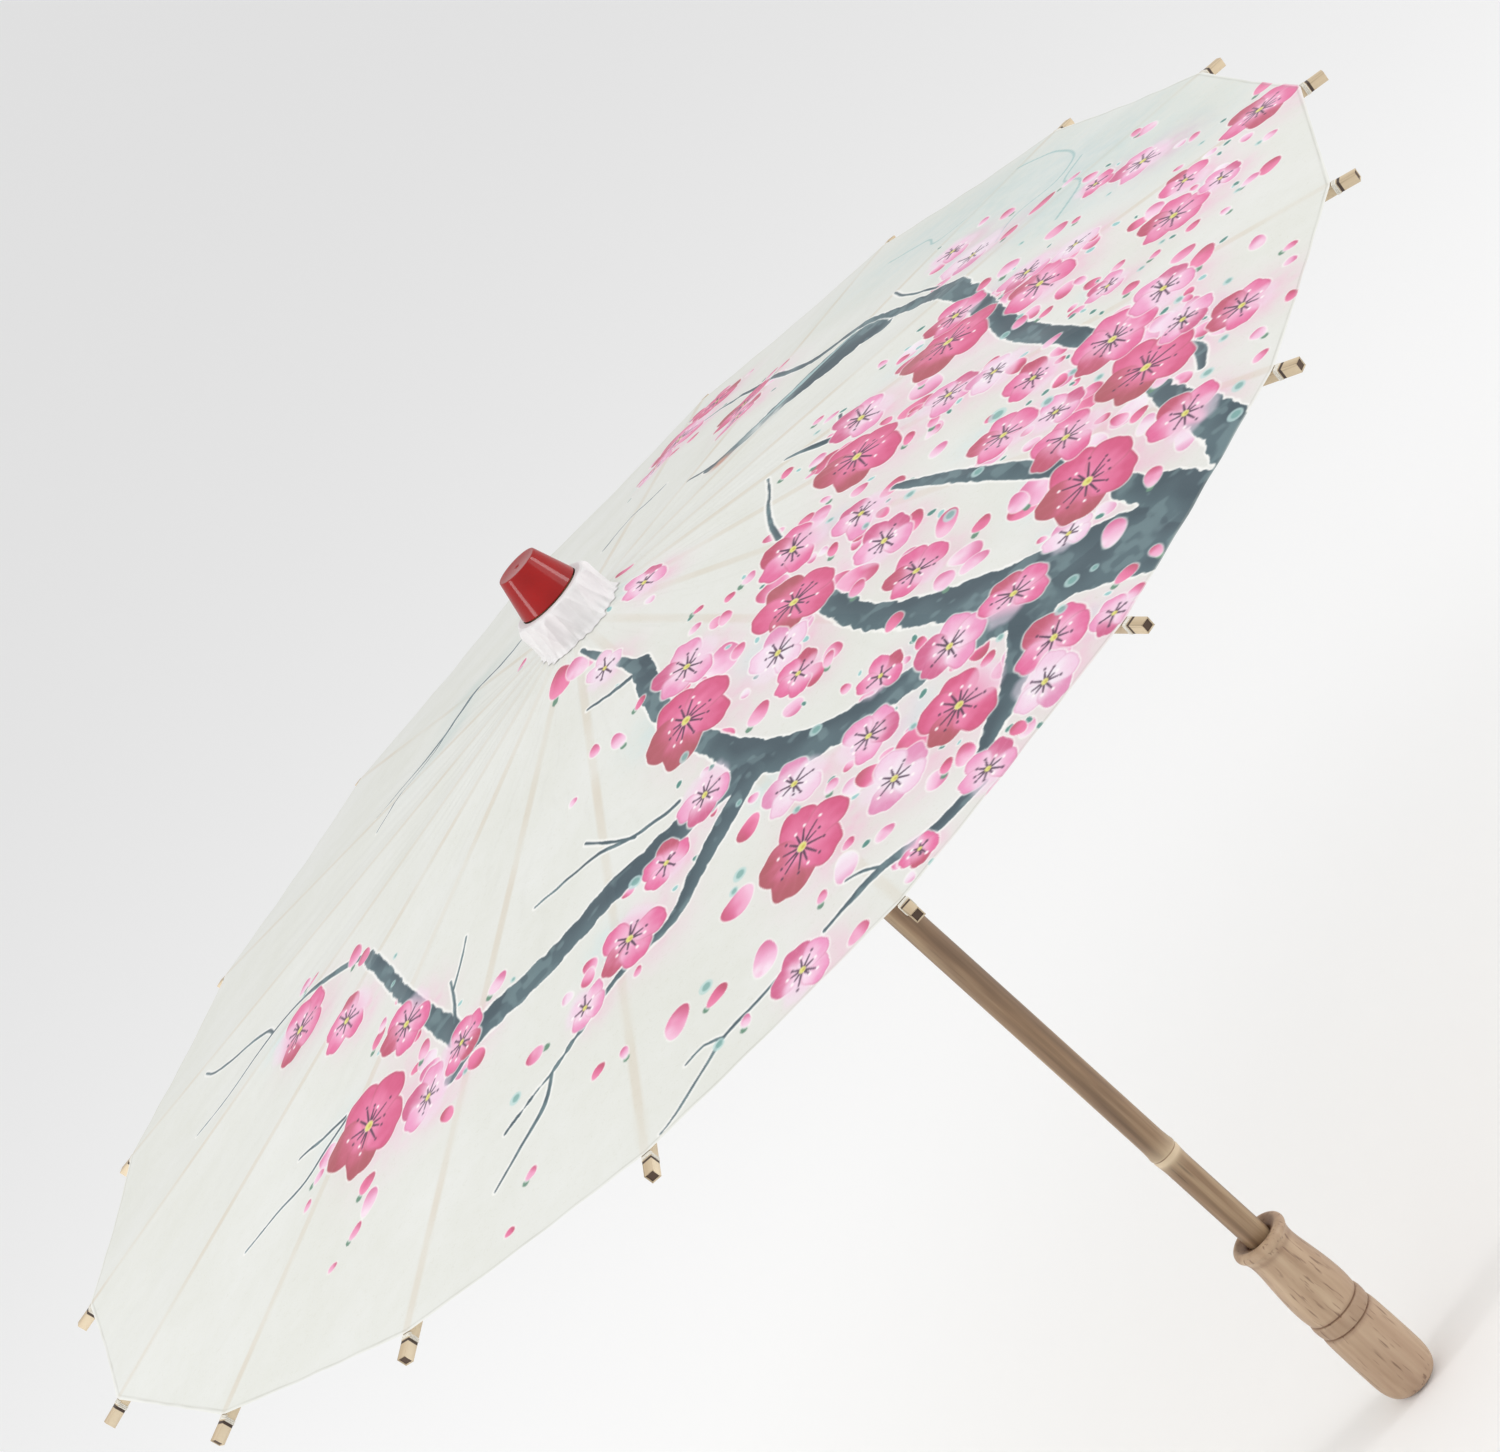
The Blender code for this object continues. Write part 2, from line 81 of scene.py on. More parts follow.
# The paper, in the frame of one rib: along it, across it and above its pivot line
RIB_HALF_WIDTH = 1.65 * MM
STRIP_HALF_WIDTH = 1.85 * MM
RIB_UNDERSIDE = 2.0 * MM
RIB_TOP = 5.3 * MM
PAPER_HEIGHT = RIB_TOP + 0.35 * MM
RIB_LENGTH = 279.5 * MM
PAPER_START = 0.2 * MM
PAPER_END = 271.1 * MM
RIM_RADIUS = PIVOT_RADIUS + PAPER_END * COS + PAPER_HEIGHT * SIN
RIM_Z = HUB_PIVOT_Z - PAPER_END * SIN + PAPER_HEIGHT * COS
SAG = 1.0 * MM                       # dip of the paper between two ribs, most at mid length
RIM_BOW = 0.25 * MM                  # how far the rim draws in between two ribs
BAY_STEPS = (150, 26)                # cells along and across a half bay, before it is refined
STRIP_STEPS = (150, 3)
COARSE, MIDDLE = 26.0, 12.0          # changes of colour that ask for a finer grid

# Other pieces
CAP_TOP_RADIUS = 7.9 * MM
SHAFT_NODE = 127.5 * MM              # height of the cane's node
CANE_ABOVE, CANE_BELOW = 4.9, 4.8    # the cane's radius above and below its node, in millimetres
NOTCH_START = PAPER_END + 1.9 * MM   # a notch near the tip of each rib, drawn as a dark band
NOTCH_WIDTH = 1.0 * MM
GRAIN_SCALE = 0.03                   # bamboo fibres run this much slower along than across


# Camera, floor and light

CAMERA_AZIMUTH = math.radians(9.44)
CAMERA_ELEVATION = math.radians(15.92)
CAMERA_DISTANCE = 1.4664             # from the centre of the rim's plane
CAMERA_AIM = Vector((0.0122, 0.0019, 0.3359))
RIM_CENTRE = Vector((0, 0, 0.357))
CAMERA_ROLL = math.radians(-47.71)
CAMERA_LENS = 109.19
SKETCH_SLOPE = math.radians(11.5)    # of the cone the print was first sketched on


def camera_spot():
    level = math.cos(CAMERA_ELEVATION)
    back = Vector((math.sin(CAMERA_AZIMUTH) * level, -math.cos(CAMERA_AZIMUTH) * level,
                   math.sin(CAMERA_ELEVATION)))
    return RIM_CENTRE + back * CAMERA_DISTANCE


def set_camera():
    spot = camera_spot()
    lens = bpy.data.cameras.new("camera")
    lens.sensor_width = 36.0
    lens.lens = CAMERA_LENS
    lens.clip_start = 0.01
    camera = bpy.data.objects.new("camera", lens)
    bpy.context.scene.collection.objects.link(camera)
    level = (CAMERA_AIM - spot).to_track_quat("-Z", "Y").to_matrix().to_4x4()
    camera.matrix_world = Matrix.Translation(spot) @ level @ Matrix.Rotation(CAMERA_ROLL, 4, "Z")
    bpy.context.scene.camera = camera


def add_light(name, place, aim, size, power):
    lamp = bpy.data.lights.new(name, "AREA")
    lamp.shape = "RECTANGLE"
    lamp.size, lamp.size_y = size
    lamp.energy = power
    light = bpy.data.objects.new(name, lamp)
    bpy.context.scene.collection.objects.link(light)
    light.location = place
    light.rotation_euler = (Vector(aim) - Vector(place)).to_track_quat("-Z", "Y").to_euler()


def set_studio():
    scene = bpy.context.scene
    scene.view_settings.view_transform = "Standard"
    world = bpy.data.worlds.new("soft_studio")
    world.use_nodes = True
    sky = world.node_tree.nodes["Background"]
    sky.inputs["Color"].default_value = (1.0, 1.0, 1.0, 1.0)
    sky.inputs["Strength"].default_value = 0.80
    scene.world = world
    add_light("key", (-0.9, -1.0, 1.9), (0, 0, 0.35), (1.6, 1.6), 9)
    add_light("side", (1.8, -0.5, 1.1), (0, 0, 0.40), (0.9, 1.4), 5)
    add_light("left_strip", (-1.3, -0.47, 0.60), (0, 0, 0.42), (0.35, 0.8), 5.0)
    add_light("right_strip", (1.4, 0.0, 0.60), (0, 0, 0.42), (0.35, 0.8), 5.0)

    floor = bmesh.new()
    bmesh.ops.create_grid(floor, x_segments=1, y_segments=1, size=12)
    pale = plain_material("pale_floor", (0.93, 0.93, 0.93), 0.9)
    ground = bpy.data.objects.new("floor", mesh_of(floor, "floor", pale))
    scene.collection.objects.link(ground)
    ground.location.z = -0.5 * MM


# Materials


def linear(colour):
    """A colour given as 0 to 255 display values, as linear light."""
    share = np.asarray(colour, float) / 255
    return np.where(share <= 0.04045, share / 12.92, ((share + 0.055) / 1.055) ** 2.4)


def plain_material(name, colour, roughness):
    made = bpy.data.materials.new(name)
    made.use_nodes = True
    shader = made.node_tree.nodes["Principled BSDF"]
    shader.inputs["Base Color"].default_value = (*colour, 1.0)
    shader.inputs["Roughness"].default_value = roughness
    return made


class Shading:
    """A material's node tree, with short ways to add and join its nodes."""

    def __init__(self, name):
        self.material = bpy.data.materials.new(name)
        self.material.use_nodes = True
        self.tree = self.material.node_tree
        self.shader = self.tree.nodes["Principled BSDF"]

    def add(self, kind, **settings):
        made = self.tree.nodes.new(kind)
        for key, value in settings.items():
            setattr(made, key, value)
        return made

    def join(self, source, target):
        self.tree.links.new(source, target)

    def constant(self, **values):
        for key, value in values.items():
            self.shader.inputs[key.replace("_", " ")].default_value = value

    def place(self, scale=(1, 1, 1), turn=(0, 0, 0)):
        """Object coordinates through a Mapping node."""
        where = self.add("ShaderNodeTexCoord")
        mapping = self.add("ShaderNodeMapping")
        mapping.inputs["Scale"].default_value = scale
        mapping.inputs["Rotation"].default_value = turn
        self.join(where.outputs["Object"], mapping.inputs["Vector"])
        return mapping.outputs["Vector"]

    def noise(self, vector, scale, detail=4.0, roughness=0.55, distortion=0.0):
        made = self.add("ShaderNodeTexNoise")
        made.inputs["Scale"].default_value = scale
        made.inputs["Detail"].default_value = detail
        made.inputs["Roughness"].default_value = roughness
        made.inputs["Distortion"].default_value = distortion
        self.join(vector, made.inputs["Vector"])
        return made.outputs["Fac"]

    def ramp(self, value, stops):
        made = self.add("ShaderNodeValToRGB")
        bar = made.color_ramp
        for index, (place, colour) in enumerate(stops):
            stop = bar.elements[index] if index < 2 else bar.elements.new(place)
            stop.position = place
            stop.color = (*linear(colour), 1.0)
        self.join(value, made.inputs["Fac"])
        return made.outputs["Color"]

    def span(self, value, low, high, to_low=0.0, to_high=1.0):
        made = self.add("ShaderNodeMapRange")
        made.inputs["From Min"].default_value = low
        made.inputs["From Max"].default_value = high
        made.inputs["To Min"].default_value = to_low
        made.inputs["To Max"].default_value = to_high
        self.join(value, made.inputs["Value"])
        return made.outputs["Result"]

    def mix(self, share, first, second, blend="MIX"):
        made = self.add("ShaderNodeMix", data_type="RGBA", blend_type=blend)
        colours = [socket for socket in made.inputs if socket.type == "RGBA"]
        for socket, value in zip(colours, (first, second)):
            if isinstance(value, bpy.types.NodeSocket):
                self.join(value, socket)
            else:
                socket.default_value = (*linear(value), 1.0)
        if isinstance(share, bpy.types.NodeSocket):
            self.join(share, made.inputs["Factor"])
        else:
            made.inputs["Factor"].default_value = share
        return next(socket for socket in made.outputs if socket.type == "RGBA")

    def bump(self, height, strength, distance):
        made = self.add("ShaderNodeBump")
        made.inputs["Strength"].default_value = strength
        made.inputs["Distance"].default_value = distance
        self.join(height, made.inputs["Height"])
        self.join(made.outputs["Normal"], self.shader.inputs["Normal"])

    def colour(self, socket):
        self.join(socket, self.shader.inputs["Base Color"])

    def rough(self, socket):
        self.join(socket, self.shader.inputs["Roughness"])


def fibre_group():
    """Long wood or bamboo fibres: streaks along Z, with the pores between them."""
    group = bpy.data.node_groups.new("long_fibres", "ShaderNodeTree")
    for name, kind in (("Vector", "NodeSocketVector"), ("Fineness", "NodeSocketFloat")):
        group.interface.new_socket(name, in_out="INPUT", socket_type=kind)
    for name in ("Streaks", "Pores"):
        group.interface.new_socket(name, in_out="OUTPUT", socket_type="NodeSocketFloat")
    nodes, links = group.nodes, group.links
    source, result = nodes.new("NodeGroupInput"), nodes.new("NodeGroupOutput")
    for name, factor, detail in (("Streaks", 1.0, 6.0), ("Pores", 3.7, 2.0)):
        scale = nodes.new("ShaderNodeMath")
        scale.operation = "MULTIPLY"
        scale.inputs[1].default_value = factor
        links.new(source.outputs["Fineness"], scale.inputs[0])
        noise = nodes.new("ShaderNodeTexNoise")
        noise.inputs["Detail"].default_value = detail
        links.new(source.outputs["Vector"], noise.inputs["Vector"])
        links.new(scale.outputs[0], noise.inputs["Scale"])
        links.new(noise.outputs["Fac"], result.inputs[name])
    return group


FIBRES = fibre_group()


def fibres(shading, vector, fineness):
    made = shading.add("ShaderNodeGroup", node_tree=FIBRES)
    made.inputs["Fineness"].default_value = fineness
    shading.join(vector, made.inputs["Vector"])
    return made.outputs["Streaks"], made.outputs["Pores"]


def paper_material():
    """Oiled paper: the print from its attribute, long plant fibres and a slight oil gloss."""
    made = Shading("oiled_paper")
    print_colour = made.add("ShaderNodeAttribute", attribute_name="print")
    where = made.place()
    fibre = made.noise(where, 900, 3.0, 0.6, 1.2)
    cloud = made.noise(where, 26, 3.0, 0.5)
    flecks = made.mix(made.span(fibre, 0.56, 0.72), (255, 255, 255), (236, 234, 226))
    toned = made.mix(0.35, print_colour.outputs["Color"], flecks, "MULTIPLY")
    mottle = made.mix(made.span(cloud, 0.3, 0.7), (255, 255, 255), (249, 249, 246))
    face = made.mix(0.8, toned, mottle, "MULTIPLY")
    back = made.mix(0.45, face, (214, 208, 190))
    side = made.add("ShaderNodeNewGeometry")
    made.colour(made.mix(side.outputs["Backfacing"], face, back))
    made.rough(made.span(cloud, 0.3, 0.7, 0.42, 0.52))
    made.bump(fibre, 0.12, 0.0002)
    made.constant(Specular_IOR_Level=0.35)
    return made.material


def bamboo_material(name, dark, pale, fineness=260):
    """Split bamboo: straight fibres along each piece, darker vascular specks, satin."""
    made = Shading(name)
    along = made.add("ShaderNodeAttribute", attribute_name="grain")
    streaks, pores = fibres(made, along.outputs["Vector"], fineness)
    body = made.ramp(streaks, [(0.3, dark), (0.7, pale)])
    speck = made.mix(made.span(pores, 0.62, 0.75), body, tuple(0.72 * c for c in dark))
    # the notch beside the rim thread is drawn as a dark band
    split = made.add("ShaderNodeSeparateXYZ")
    made.join(along.outputs["Vector"], split.inputs[0])
    start, width = GRAIN_SCALE * NOTCH_START, GRAIN_SCALE * NOTCH_WIDTH
    rise = made.span(split.outputs[0], start, start + 0.2 * width)
    fall = made.span(split.outputs[0], start + width, start + 1.2 * width, 1.0, 0.0)
    band = made.add("ShaderNodeMath", operation="MULTIPLY")
    made.join(rise, band.inputs[0])
    made.join(fall, band.inputs[1])
    made.colour(made.mix(band.outputs[0], speck, (62, 46, 36)))
    made.rough(made.span(streaks, 0.2, 0.8, 0.5, 0.66))
    made.bump(streaks, 0.25, 0.0003)
    return made.material


def shaft_material():
    """Whole bamboo with its skin on: brown green streaks, paler at the node."""
    made = Shading("shaft_bamboo")
    where = made.place((1, 1, 0.035))
    streaks, pores = fibres(made, where, 210)
    body = made.ramp(streaks, [(0.3, (96, 74, 54)), (0.5, (138, 111, 84)), (0.7, (180, 156, 124))])
    patches = made.noise(made.place((1, 1, 0.25)), 60, 3.0, 0.6)
    stained = made.mix(made.span(patches, 0.52, 0.72, 0.0, 0.5), body, (92, 70, 54))
    specks = made.mix(made.span(pores, 0.66, 0.76, 0.0, 0.7), stained, (64, 46, 34))
    node = made.add("ShaderNodeAttribute", attribute_name="wear_and_shade")
    made.colour(made.mix(node.outputs["Fac"], specks, (206, 186, 156)))
    made.rough(made.span(streaks, 0.2, 0.8, 0.36, 0.52))
    made.bump(streaks, 0.3, 0.0004)
    return made.material


def handle_material():
    """Turned hardwood: fine dashes of open grain along it, reddish brown in the grooves, and painted shade
    in its mouth, the dish round it and the cove under the bead.
    """
    made = Shading("turned_wood")
    where = made.place((1, 1, 0.09), (0.06, 0.05, 0))
    streaks, pores = fibres(made, where, 240)
    body = made.ramp(streaks, [(0.3, (158, 130, 104)), (0.55, (180, 154, 127)), (0.75, (194, 170, 142))])
    wide = made.noise(made.place((1, 1, 0.3)), 45, 2.0)
    warm = made.mix(made.span(wide, 0.4, 0.7, 0.0, 0.35), body, (168, 136, 116))
    dashes = made.mix(made.span(pores, 0.6, 0.7, 0.0, 0.8), warm, (124, 96, 76))
    # the attribute darkens the grooves and the ring between them, and paints shade into the mouth's bore,
    # the dish round it and the cove under the bead
    shade_and_stain = made.add("ShaderNodeAttribute", attribute_name="wear_and_shade")
    made.colour(made.mix(shade_and_stain.outputs["Fac"], dashes, (98, 60, 40)))
    made.rough(made.span(streaks, 0.2, 0.8, 0.42, 0.58))
    made.bump(pores, 0.25, 0.0003)
    return made.material


def red_material():
    """Glossy red: an even coat under a clear one, with faint orange peel."""
    made = Shading("red_lacquer")
    where = made.place()
    cloud = made.noise(where, 70, 2.0)
    made.colour(made.ramp(cloud, [(0.3, (142, 3, 2)), (0.7, (160, 7, 5))]))
    made.bump(made.noise(where, 500, 2.0), 0.03, 0.0002)
    made.constant(Roughness=0.5, Specular_IOR_Level=0.1, Coat_Weight=0.55, Coat_Roughness=0.08)
    return made.material


def wrap_material():
    made = Shading("wrap_paper")
    where = made.place()
    fibre = made.noise(where, 700, 4.0, 0.6, 1.0)
    cloud = made.noise(where, 90, 3.0)
    made.colour(made.ramp(cloud, [(0.3, (216, 214, 214)), (0.7, (232, 230, 230))]))
    made.rough(made.span(fibre, 0.3, 0.7, 0.6, 0.8))
    made.bump(fibre, 0.08, 0.0002)
    return made.material


def wood_material():
    made = Shading("hub_wood")
    where = made.place((1, 1, 0.06))
    streaks, pores = fibres(made, where, 260)
    body = made.ramp(streaks, [(0.3, (158, 128, 92)), (0.7, (198, 168, 128))])
    made.colour(made.mix(made.span(pores, 0.6, 0.75, 0.0, 0.6), body, (120, 90, 62)))
    made.rough(made.span(streaks, 0.2, 0.8, 0.55, 0.7))
    made.bump(streaks, 0.2, 0.0003)
    return made.material


def thread_material():
    made = Shading("thread")
    where = made.place()
    ply = made.noise(where, 2200, 3.0, 0.6)
    made.colour(made.ramp(ply, [(0.3, (206, 200, 186)), (0.7, (236, 233, 224))]))
    made.bump(ply, 0.5, 0.0002)
    made.constant(Roughness=0.85, Sheen_Weight=0.2)
    return made.material


PAPER = paper_material()
RIB_BAMBOO = bamboo_material("rib_bamboo", (186, 164, 132), (220, 203, 174))
END_GRAIN = plain_material("rib_end_grain", tuple(linear((78, 60, 48))), 0.8)
SHAFT_BAMBOO = shaft_material()
TURNED_WOOD = handle_material()
HUB_WOOD = wood_material()
RED_LACQUER = red_material()
WRAP_PAPER = wrap_material()
THREAD = thread_material()


# The print, drawn on a plan of the canopy seen from above. Places are (x, y) in millimetres from
# the shaft, with rib_01 along +x, and sizes are in millimetres too.

HALO = (247, 246, 243)
GROUND = (226, 227, 222)
RIB_SHADE = (214, 203, 186)
SLATE, SLATE_DARK, SLATE_PALE = (84, 106, 114), (63, 81, 91), (126, 150, 154)
PLUM_DARK = (66, 44, 66)
POLLEN = (226, 222, 128)
PALE_VEIL = (240, 222, 238)
TEAL = (92, 148, 142)
TEAL_WASH = (186, 216, 214)
CALYX = (104, 142, 122)
# inner, outer and deep colours of the petals
CRIMSON = ((238, 138, 178), (212, 86, 130), (176, 86, 98))
MAGENTA = ((244, 194, 220), (226, 106, 156), (190, 84, 110))
PINK = ((246, 224, 238), (234, 148, 192), (206, 96, 138))
PALE = ((244, 236, 244), (240, 202, 226), (224, 142, 184))


def smooth_noise(shape, cells, seed):
    """Soft random field from 0 to 1 with about `cells` bumps each way."""
    grid = np.random.default_rng(seed).random((cells + 2, cells + 2))
    rows = np.linspace(0, cells, shape[0])
    columns = np.linspace(0, cells, shape[1])
    r0, c0 = rows.astype(int), columns.astype(int)
    fr, fc = rows - r0, columns - c0
    fr, fc = (fr * fr * (3 - 2 * fr))[:, None], (fc * fc * (3 - 2 * fc))[None, :]
    top = grid[r0][:, c0] * (1 - fc) + grid[r0][:, c0 + 1] * fc
    low = grid[r0 + 1][:, c0] * (1 - fc) + grid[r0 + 1][:, c0 + 1] * fc
    return top * (1 - fr) + low * fr


EVERYWHERE = (slice(None), slice(None))


class Print:
    """A plan of the canopy that strokes are laid on, one over the other."""

    REACH = 292.0
    FEATHER = 0.35

    def __init__(self, pitch):
        self.pitch = pitch
        self.count = int(2 * self.REACH / pitch) + 1
        line = -self.REACH + pitch * np.arange(self.count)
        self.x, self.y = line[None, :], line[:, None]
        self.colour = np.empty((self.count, self.count, 3), np.float32)
        self.colour[:] = GROUND
        self.random = np.random.default_rng(7)
        self.grain = smooth_noise((self.count, self.count), 190, 3)
        self.fine_grain = smooth_noise((self.count, self.count), 520, 4)
        self.broad_grain = smooth_noise((self.count, self.count), 60, 9)

    def near(self, x, y, reach):
        """The part of the plan within reach of a point, and the offsets from it."""
        low = [max(0, int((v - reach + self.REACH) / self.pitch)) for v in (y, x)]
        high = [min(self.count, int((v + reach + self.REACH) / self.pitch) + 2) for v in (y, x)]
        part = (slice(low[0], high[0]), slice(low[1], high[1]))
        return part, self.x[:, part[1]] - x, self.y[part[0]] - y

    def lay(self, part, mask, colour):
        patch = self.colour[part]
        patch += (np.asarray(colour, np.float32) - patch) * mask[..., None].astype(np.float32)

    def edge(self, depth, feather=None):
        """1 where depth, in millimetres inside the edge, is positive, with a soft edge."""
        feather = feather or self.FEATHER
        return np.clip(depth / feather + 0.5, 0, 1)

    def dot(self, x, y, radius, colour, strength=1.0):
        part, dx, dy = self.near(x, y, radius + 1)
        self.lay(part, self.edge(radius - np.hypot(dx, dy)) * strength, colour)

    def wash(self, x, y, radius, colour, strength):
        part, dx, dy = self.near(x, y, 1.6 * radius)
        far = np.hypot(dx, dy) / radius
        cloud = 0.55 + 0.9 * self.grain[part]
        self.lay(part, np.clip(strength * cloud * np.exp(-2.2 * far**2) * (far < 1.6), 0, 1), colour)

    def line(self, x0, y0, x1, y1, width, colour, strength=1.0):
        """A stroke that tapers a little to its far end."""
        reach = math.hypot(x1 - x0, y1 - y0) / 2 + width + 1
        part, dx, dy = self.near((x0 + x1) / 2, (y0 + y1) / 2, reach)
        along, across = x1 - x0, y1 - y0
        length = max(math.hypot(along, across), 1e-6)
        px, py = dx + along / 2, dy + across / 2
        share = np.clip((px * along + py * across) / length**2, 0, 1)
        far = np.hypot(px - share * along, py - share * across)
        self.lay(part, self.edge(width / 2 * (1 - 0.35 * share) - far) * strength, colour)

    def bud(self, x, y, length, turn, tone=MAGENTA, fat=0.72):
        """A loose petal or a bud, deeper towards one end."""
        part, dx, dy = self.near(x, y, 1.5 * length + 2)
        c, s = math.cos(math.radians(turn)), math.sin(math.radians(turn))
        a, b = dx * c + dy * s, (dy * c - dx * s) / fat
        lean = np.arctan2(b, a)
        ripple = 1 + 0.07 * np.sin(2 * lean + x) + 0.05 * np.sin(3 * lean + y)
        far = np.hypot(a, b) / ripple
        inside = self.edge(length / 2 - far)
        self.lay(part, self.edge(length / 2 + 0.55 - far, 0.6) * 0.75, HALO)
        share = np.clip(0.5 + a / length + 0.5 * (self.grain[part] - 0.5), 0, 1)[..., None]
        self.lay(part, inside, np.array(tone[0]) * (1 - share) + np.array(tone[1]) * share)
        self.lay(part, inside * np.clip(1.6 * a / length - 0.1, 0, 0.85), tone[2])

    def blossom(self, x, y, size, turn, tone, petals=(0, 1, 2, 3, 4), faded=(), deep=(0,)):
        """Five round petals round a pollen heart. Faded petals melt into the paper."""
        part, dx, dy = self.near(x, y, 1.35 * size + 3)
        from_heart = np.hypot(dx, dy) / size
        shapes = []
        for petal in petals:
            angle = math.radians(turn + 72 * petal + self.random.uniform(-7, 7))
            c, s = math.cos(angle), math.sin(angle)
            long, wide = self.random.uniform(0.92, 1.08), self.random.uniform(0.9, 1.1)
            a = (dx * c + dy * s) / size - 0.54 * long
            b = (dy * c - dx * s) / size
            lean = np.arctan2(b, a)
            ripple = 1 + 0.05 * np.sin(3 * lean + petal) + 0.035 * np.sin(5 * lean + 2 * petal)
            notch = 1 - 0.10 * np.exp(-((lean / 0.28) ** 2))
            far = np.hypot(a / (0.45 * long), b / (0.46 * wide)) / (ripple * notch)
            shapes.append((petal, (1 - far) * 0.45 * size, np.clip(a / 0.45 + 0.35, -1, 1.4), far))
        for petal, depth, _, _ in shapes:
            if petal not in faded:
                self.lay(part, self.edge(depth + 0.6, 0.6) * 0.75, HALO)
        for petal, depth, outward, far in shapes:
            inner, outer, dark = (np.array(c, float) for c in tone)
            cloudy = 0.45 * (self.grain[part] - 0.5)
            share = np.clip(0.42 + 0.6 * outward + cloudy, 0, 1)[..., None]
            body = inner * (1 - share) + outer * share
            if petal in deep:
                stain = np.clip(0.45 + 0.7 * outward + cloudy, 0, 1)[..., None]
                body = body * (1 - stain) + dark * stain
            if petal in faded:
                blush = np.clip(0.9 - 0.9 * outward, 0.1, 0.95)
                self.lay(part, self.edge(depth, 3.0) * blush, 0.5 * inner + 0.5 * outer)
                self.lay(part, self.edge(depth, 2.0) * 0.45, PALE_VEIL)
                continue
            self.lay(part, self.edge(depth), body)
            vein = np.clip(np.sin(18 * np.arctan2(dy, dx) + petal) - 0.55, 0, 1)
            self.lay(part, self.edge(depth) * vein * 0.16, inner)
            rim = np.clip(1 - np.abs(far - 0.95) / 0.09, 0, 1) * (far < 1.02)
            self.lay(part, rim * 0.35, dark * 0.93)
        glow = np.exp(-((from_heart / 0.45) ** 2))
        self.lay(part, glow * 0.5, tone[0])
        self.stamens(x, y, size)

    def stamens(self, x, y, size):
        count = 12 if size > 14 else 9 if size > 10 else 6
        for index in range(count):
            angle = 2 * math.pi * (index + self.random.uniform(-0.3, 0.3)) / count
            reach = size * self.random.uniform(0.28, 0.5)
            c, s = math.cos(angle), math.sin(angle)
            start = 0.13 * size
            self.line(x + start * c, y + start * s, x + reach * c, y + reach * s, 0.85, PLUM_DARK, 0.9)
            tip = reach + size * self.random.uniform(0.05, 0.12)
            if self.random.random() < 0.5:
                self.dot(x + tip * c, y + tip * s, 0.65, (252, 244, 246), 0.95)
            else:
                self.dot(x + tip * c, y + tip * s, 0.55, PLUM_DARK, 0.8)
        self.dot(x, y, 0.085 * size + 0.2, POLLEN)
        self.dot(x + 0.3, y - 0.3, 0.03 * size + 0.15, (196, 176, 70), 0.7)

    def branch(self, points, widths, halo=0.9, body=True):
        """A brushed branch through the points, thinner where widths say, or only its pale halo."""
        path = smooth_path(points, widths)
        spots = np.array([(x, y) for x, y, _ in path])
        middle = (spots.min(0) + spots.max(0)) / 2
        reach = float(np.abs(spots - middle).max()) + max(widths) + 3
        part, dx, dy = self.near(middle[0], middle[1], reach)
        depth = np.full(np.broadcast(dx, dy).shape, -9.0)
        lean = np.zeros_like(depth)
        for (x0, y0, w0), (x1, y1, w1) in zip(path, path[1:]):
            along, across = x1 - x0, y1 - y0
            px, py = dx - (x0 - middle[0]), dy - (y0 - middle[1])
            share = np.clip((px * along + py * across) / max(along**2 + across**2, 1e-9), 0, 1)
            ox, oy = px - share * along, py - share * across
            width = w0 + (w1 - w0) * share
            found = width / 2 - np.hypot(ox, oy)
            side = (ox * across - oy * along) / max(math.hypot(along, across), 1e-6)
            lean = np.where(found > depth, side / np.maximum(width, 0.6), lean)
            depth = np.maximum(depth, found)
        ripple = (self.fine_grain[part] - 0.5) * 0.7 + (self.grain[part] - 0.5) * 2.4
        rough = np.clip(0.2 * max(widths) / 3, 0.15, 1.0)
        depth = depth + ripple * rough * np.clip(0.25 * (depth + 3), 0, 1)
        if not body:
            self.lay(part, self.edge(depth + halo, 0.6) * 0.85, HALO)
            return
        inside = self.edge(depth)
        self.lay(part, inside, SLATE)
        cloud = self.broad_grain[part] - 0.5
        self.lay(part, inside * np.clip(lean * 1.3 + 0.35 + 1.6 * cloud, 0, 0.9), SLATE_DARK)
        streak = np.clip((self.grain[part] - 0.60) * 2.5 - 2.0 * cloud, 0, 0.45)
        self.lay(part, inside * streak, SLATE_PALE)


def between(a, b, c, d, t):
    """A Catmull-Rom curve from b to c, at a share t of the way."""
    bend = (2 * a - 5 * b + 4 * c - d) * t * t + (3 * b - a - 3 * c + d) * t**3
    return 0.5 * (2 * b + (c - a) * t + bend)


def smooth_path(points, widths, step=2.5):
    """Points along a smooth curve through the given ones, each with its width."""
    rows = [(*point, width) for point, width in zip(points, widths)]
    rows = [rows[0], *rows, rows[-1]]
    path = []
    for p0, p1, p2, p3 in zip(rows, rows[1:], rows[2:], rows[3:]):
        pieces = max(2, int(math.hypot(p2[0] - p1[0], p2[1] - p1[1]) / step))
        for index in range(pieces):
            t = index / pieces
            path.append(tuple(between(*values, t) for values in zip(p0, p1, p2, p3)))
    return [*path, rows[-1]]


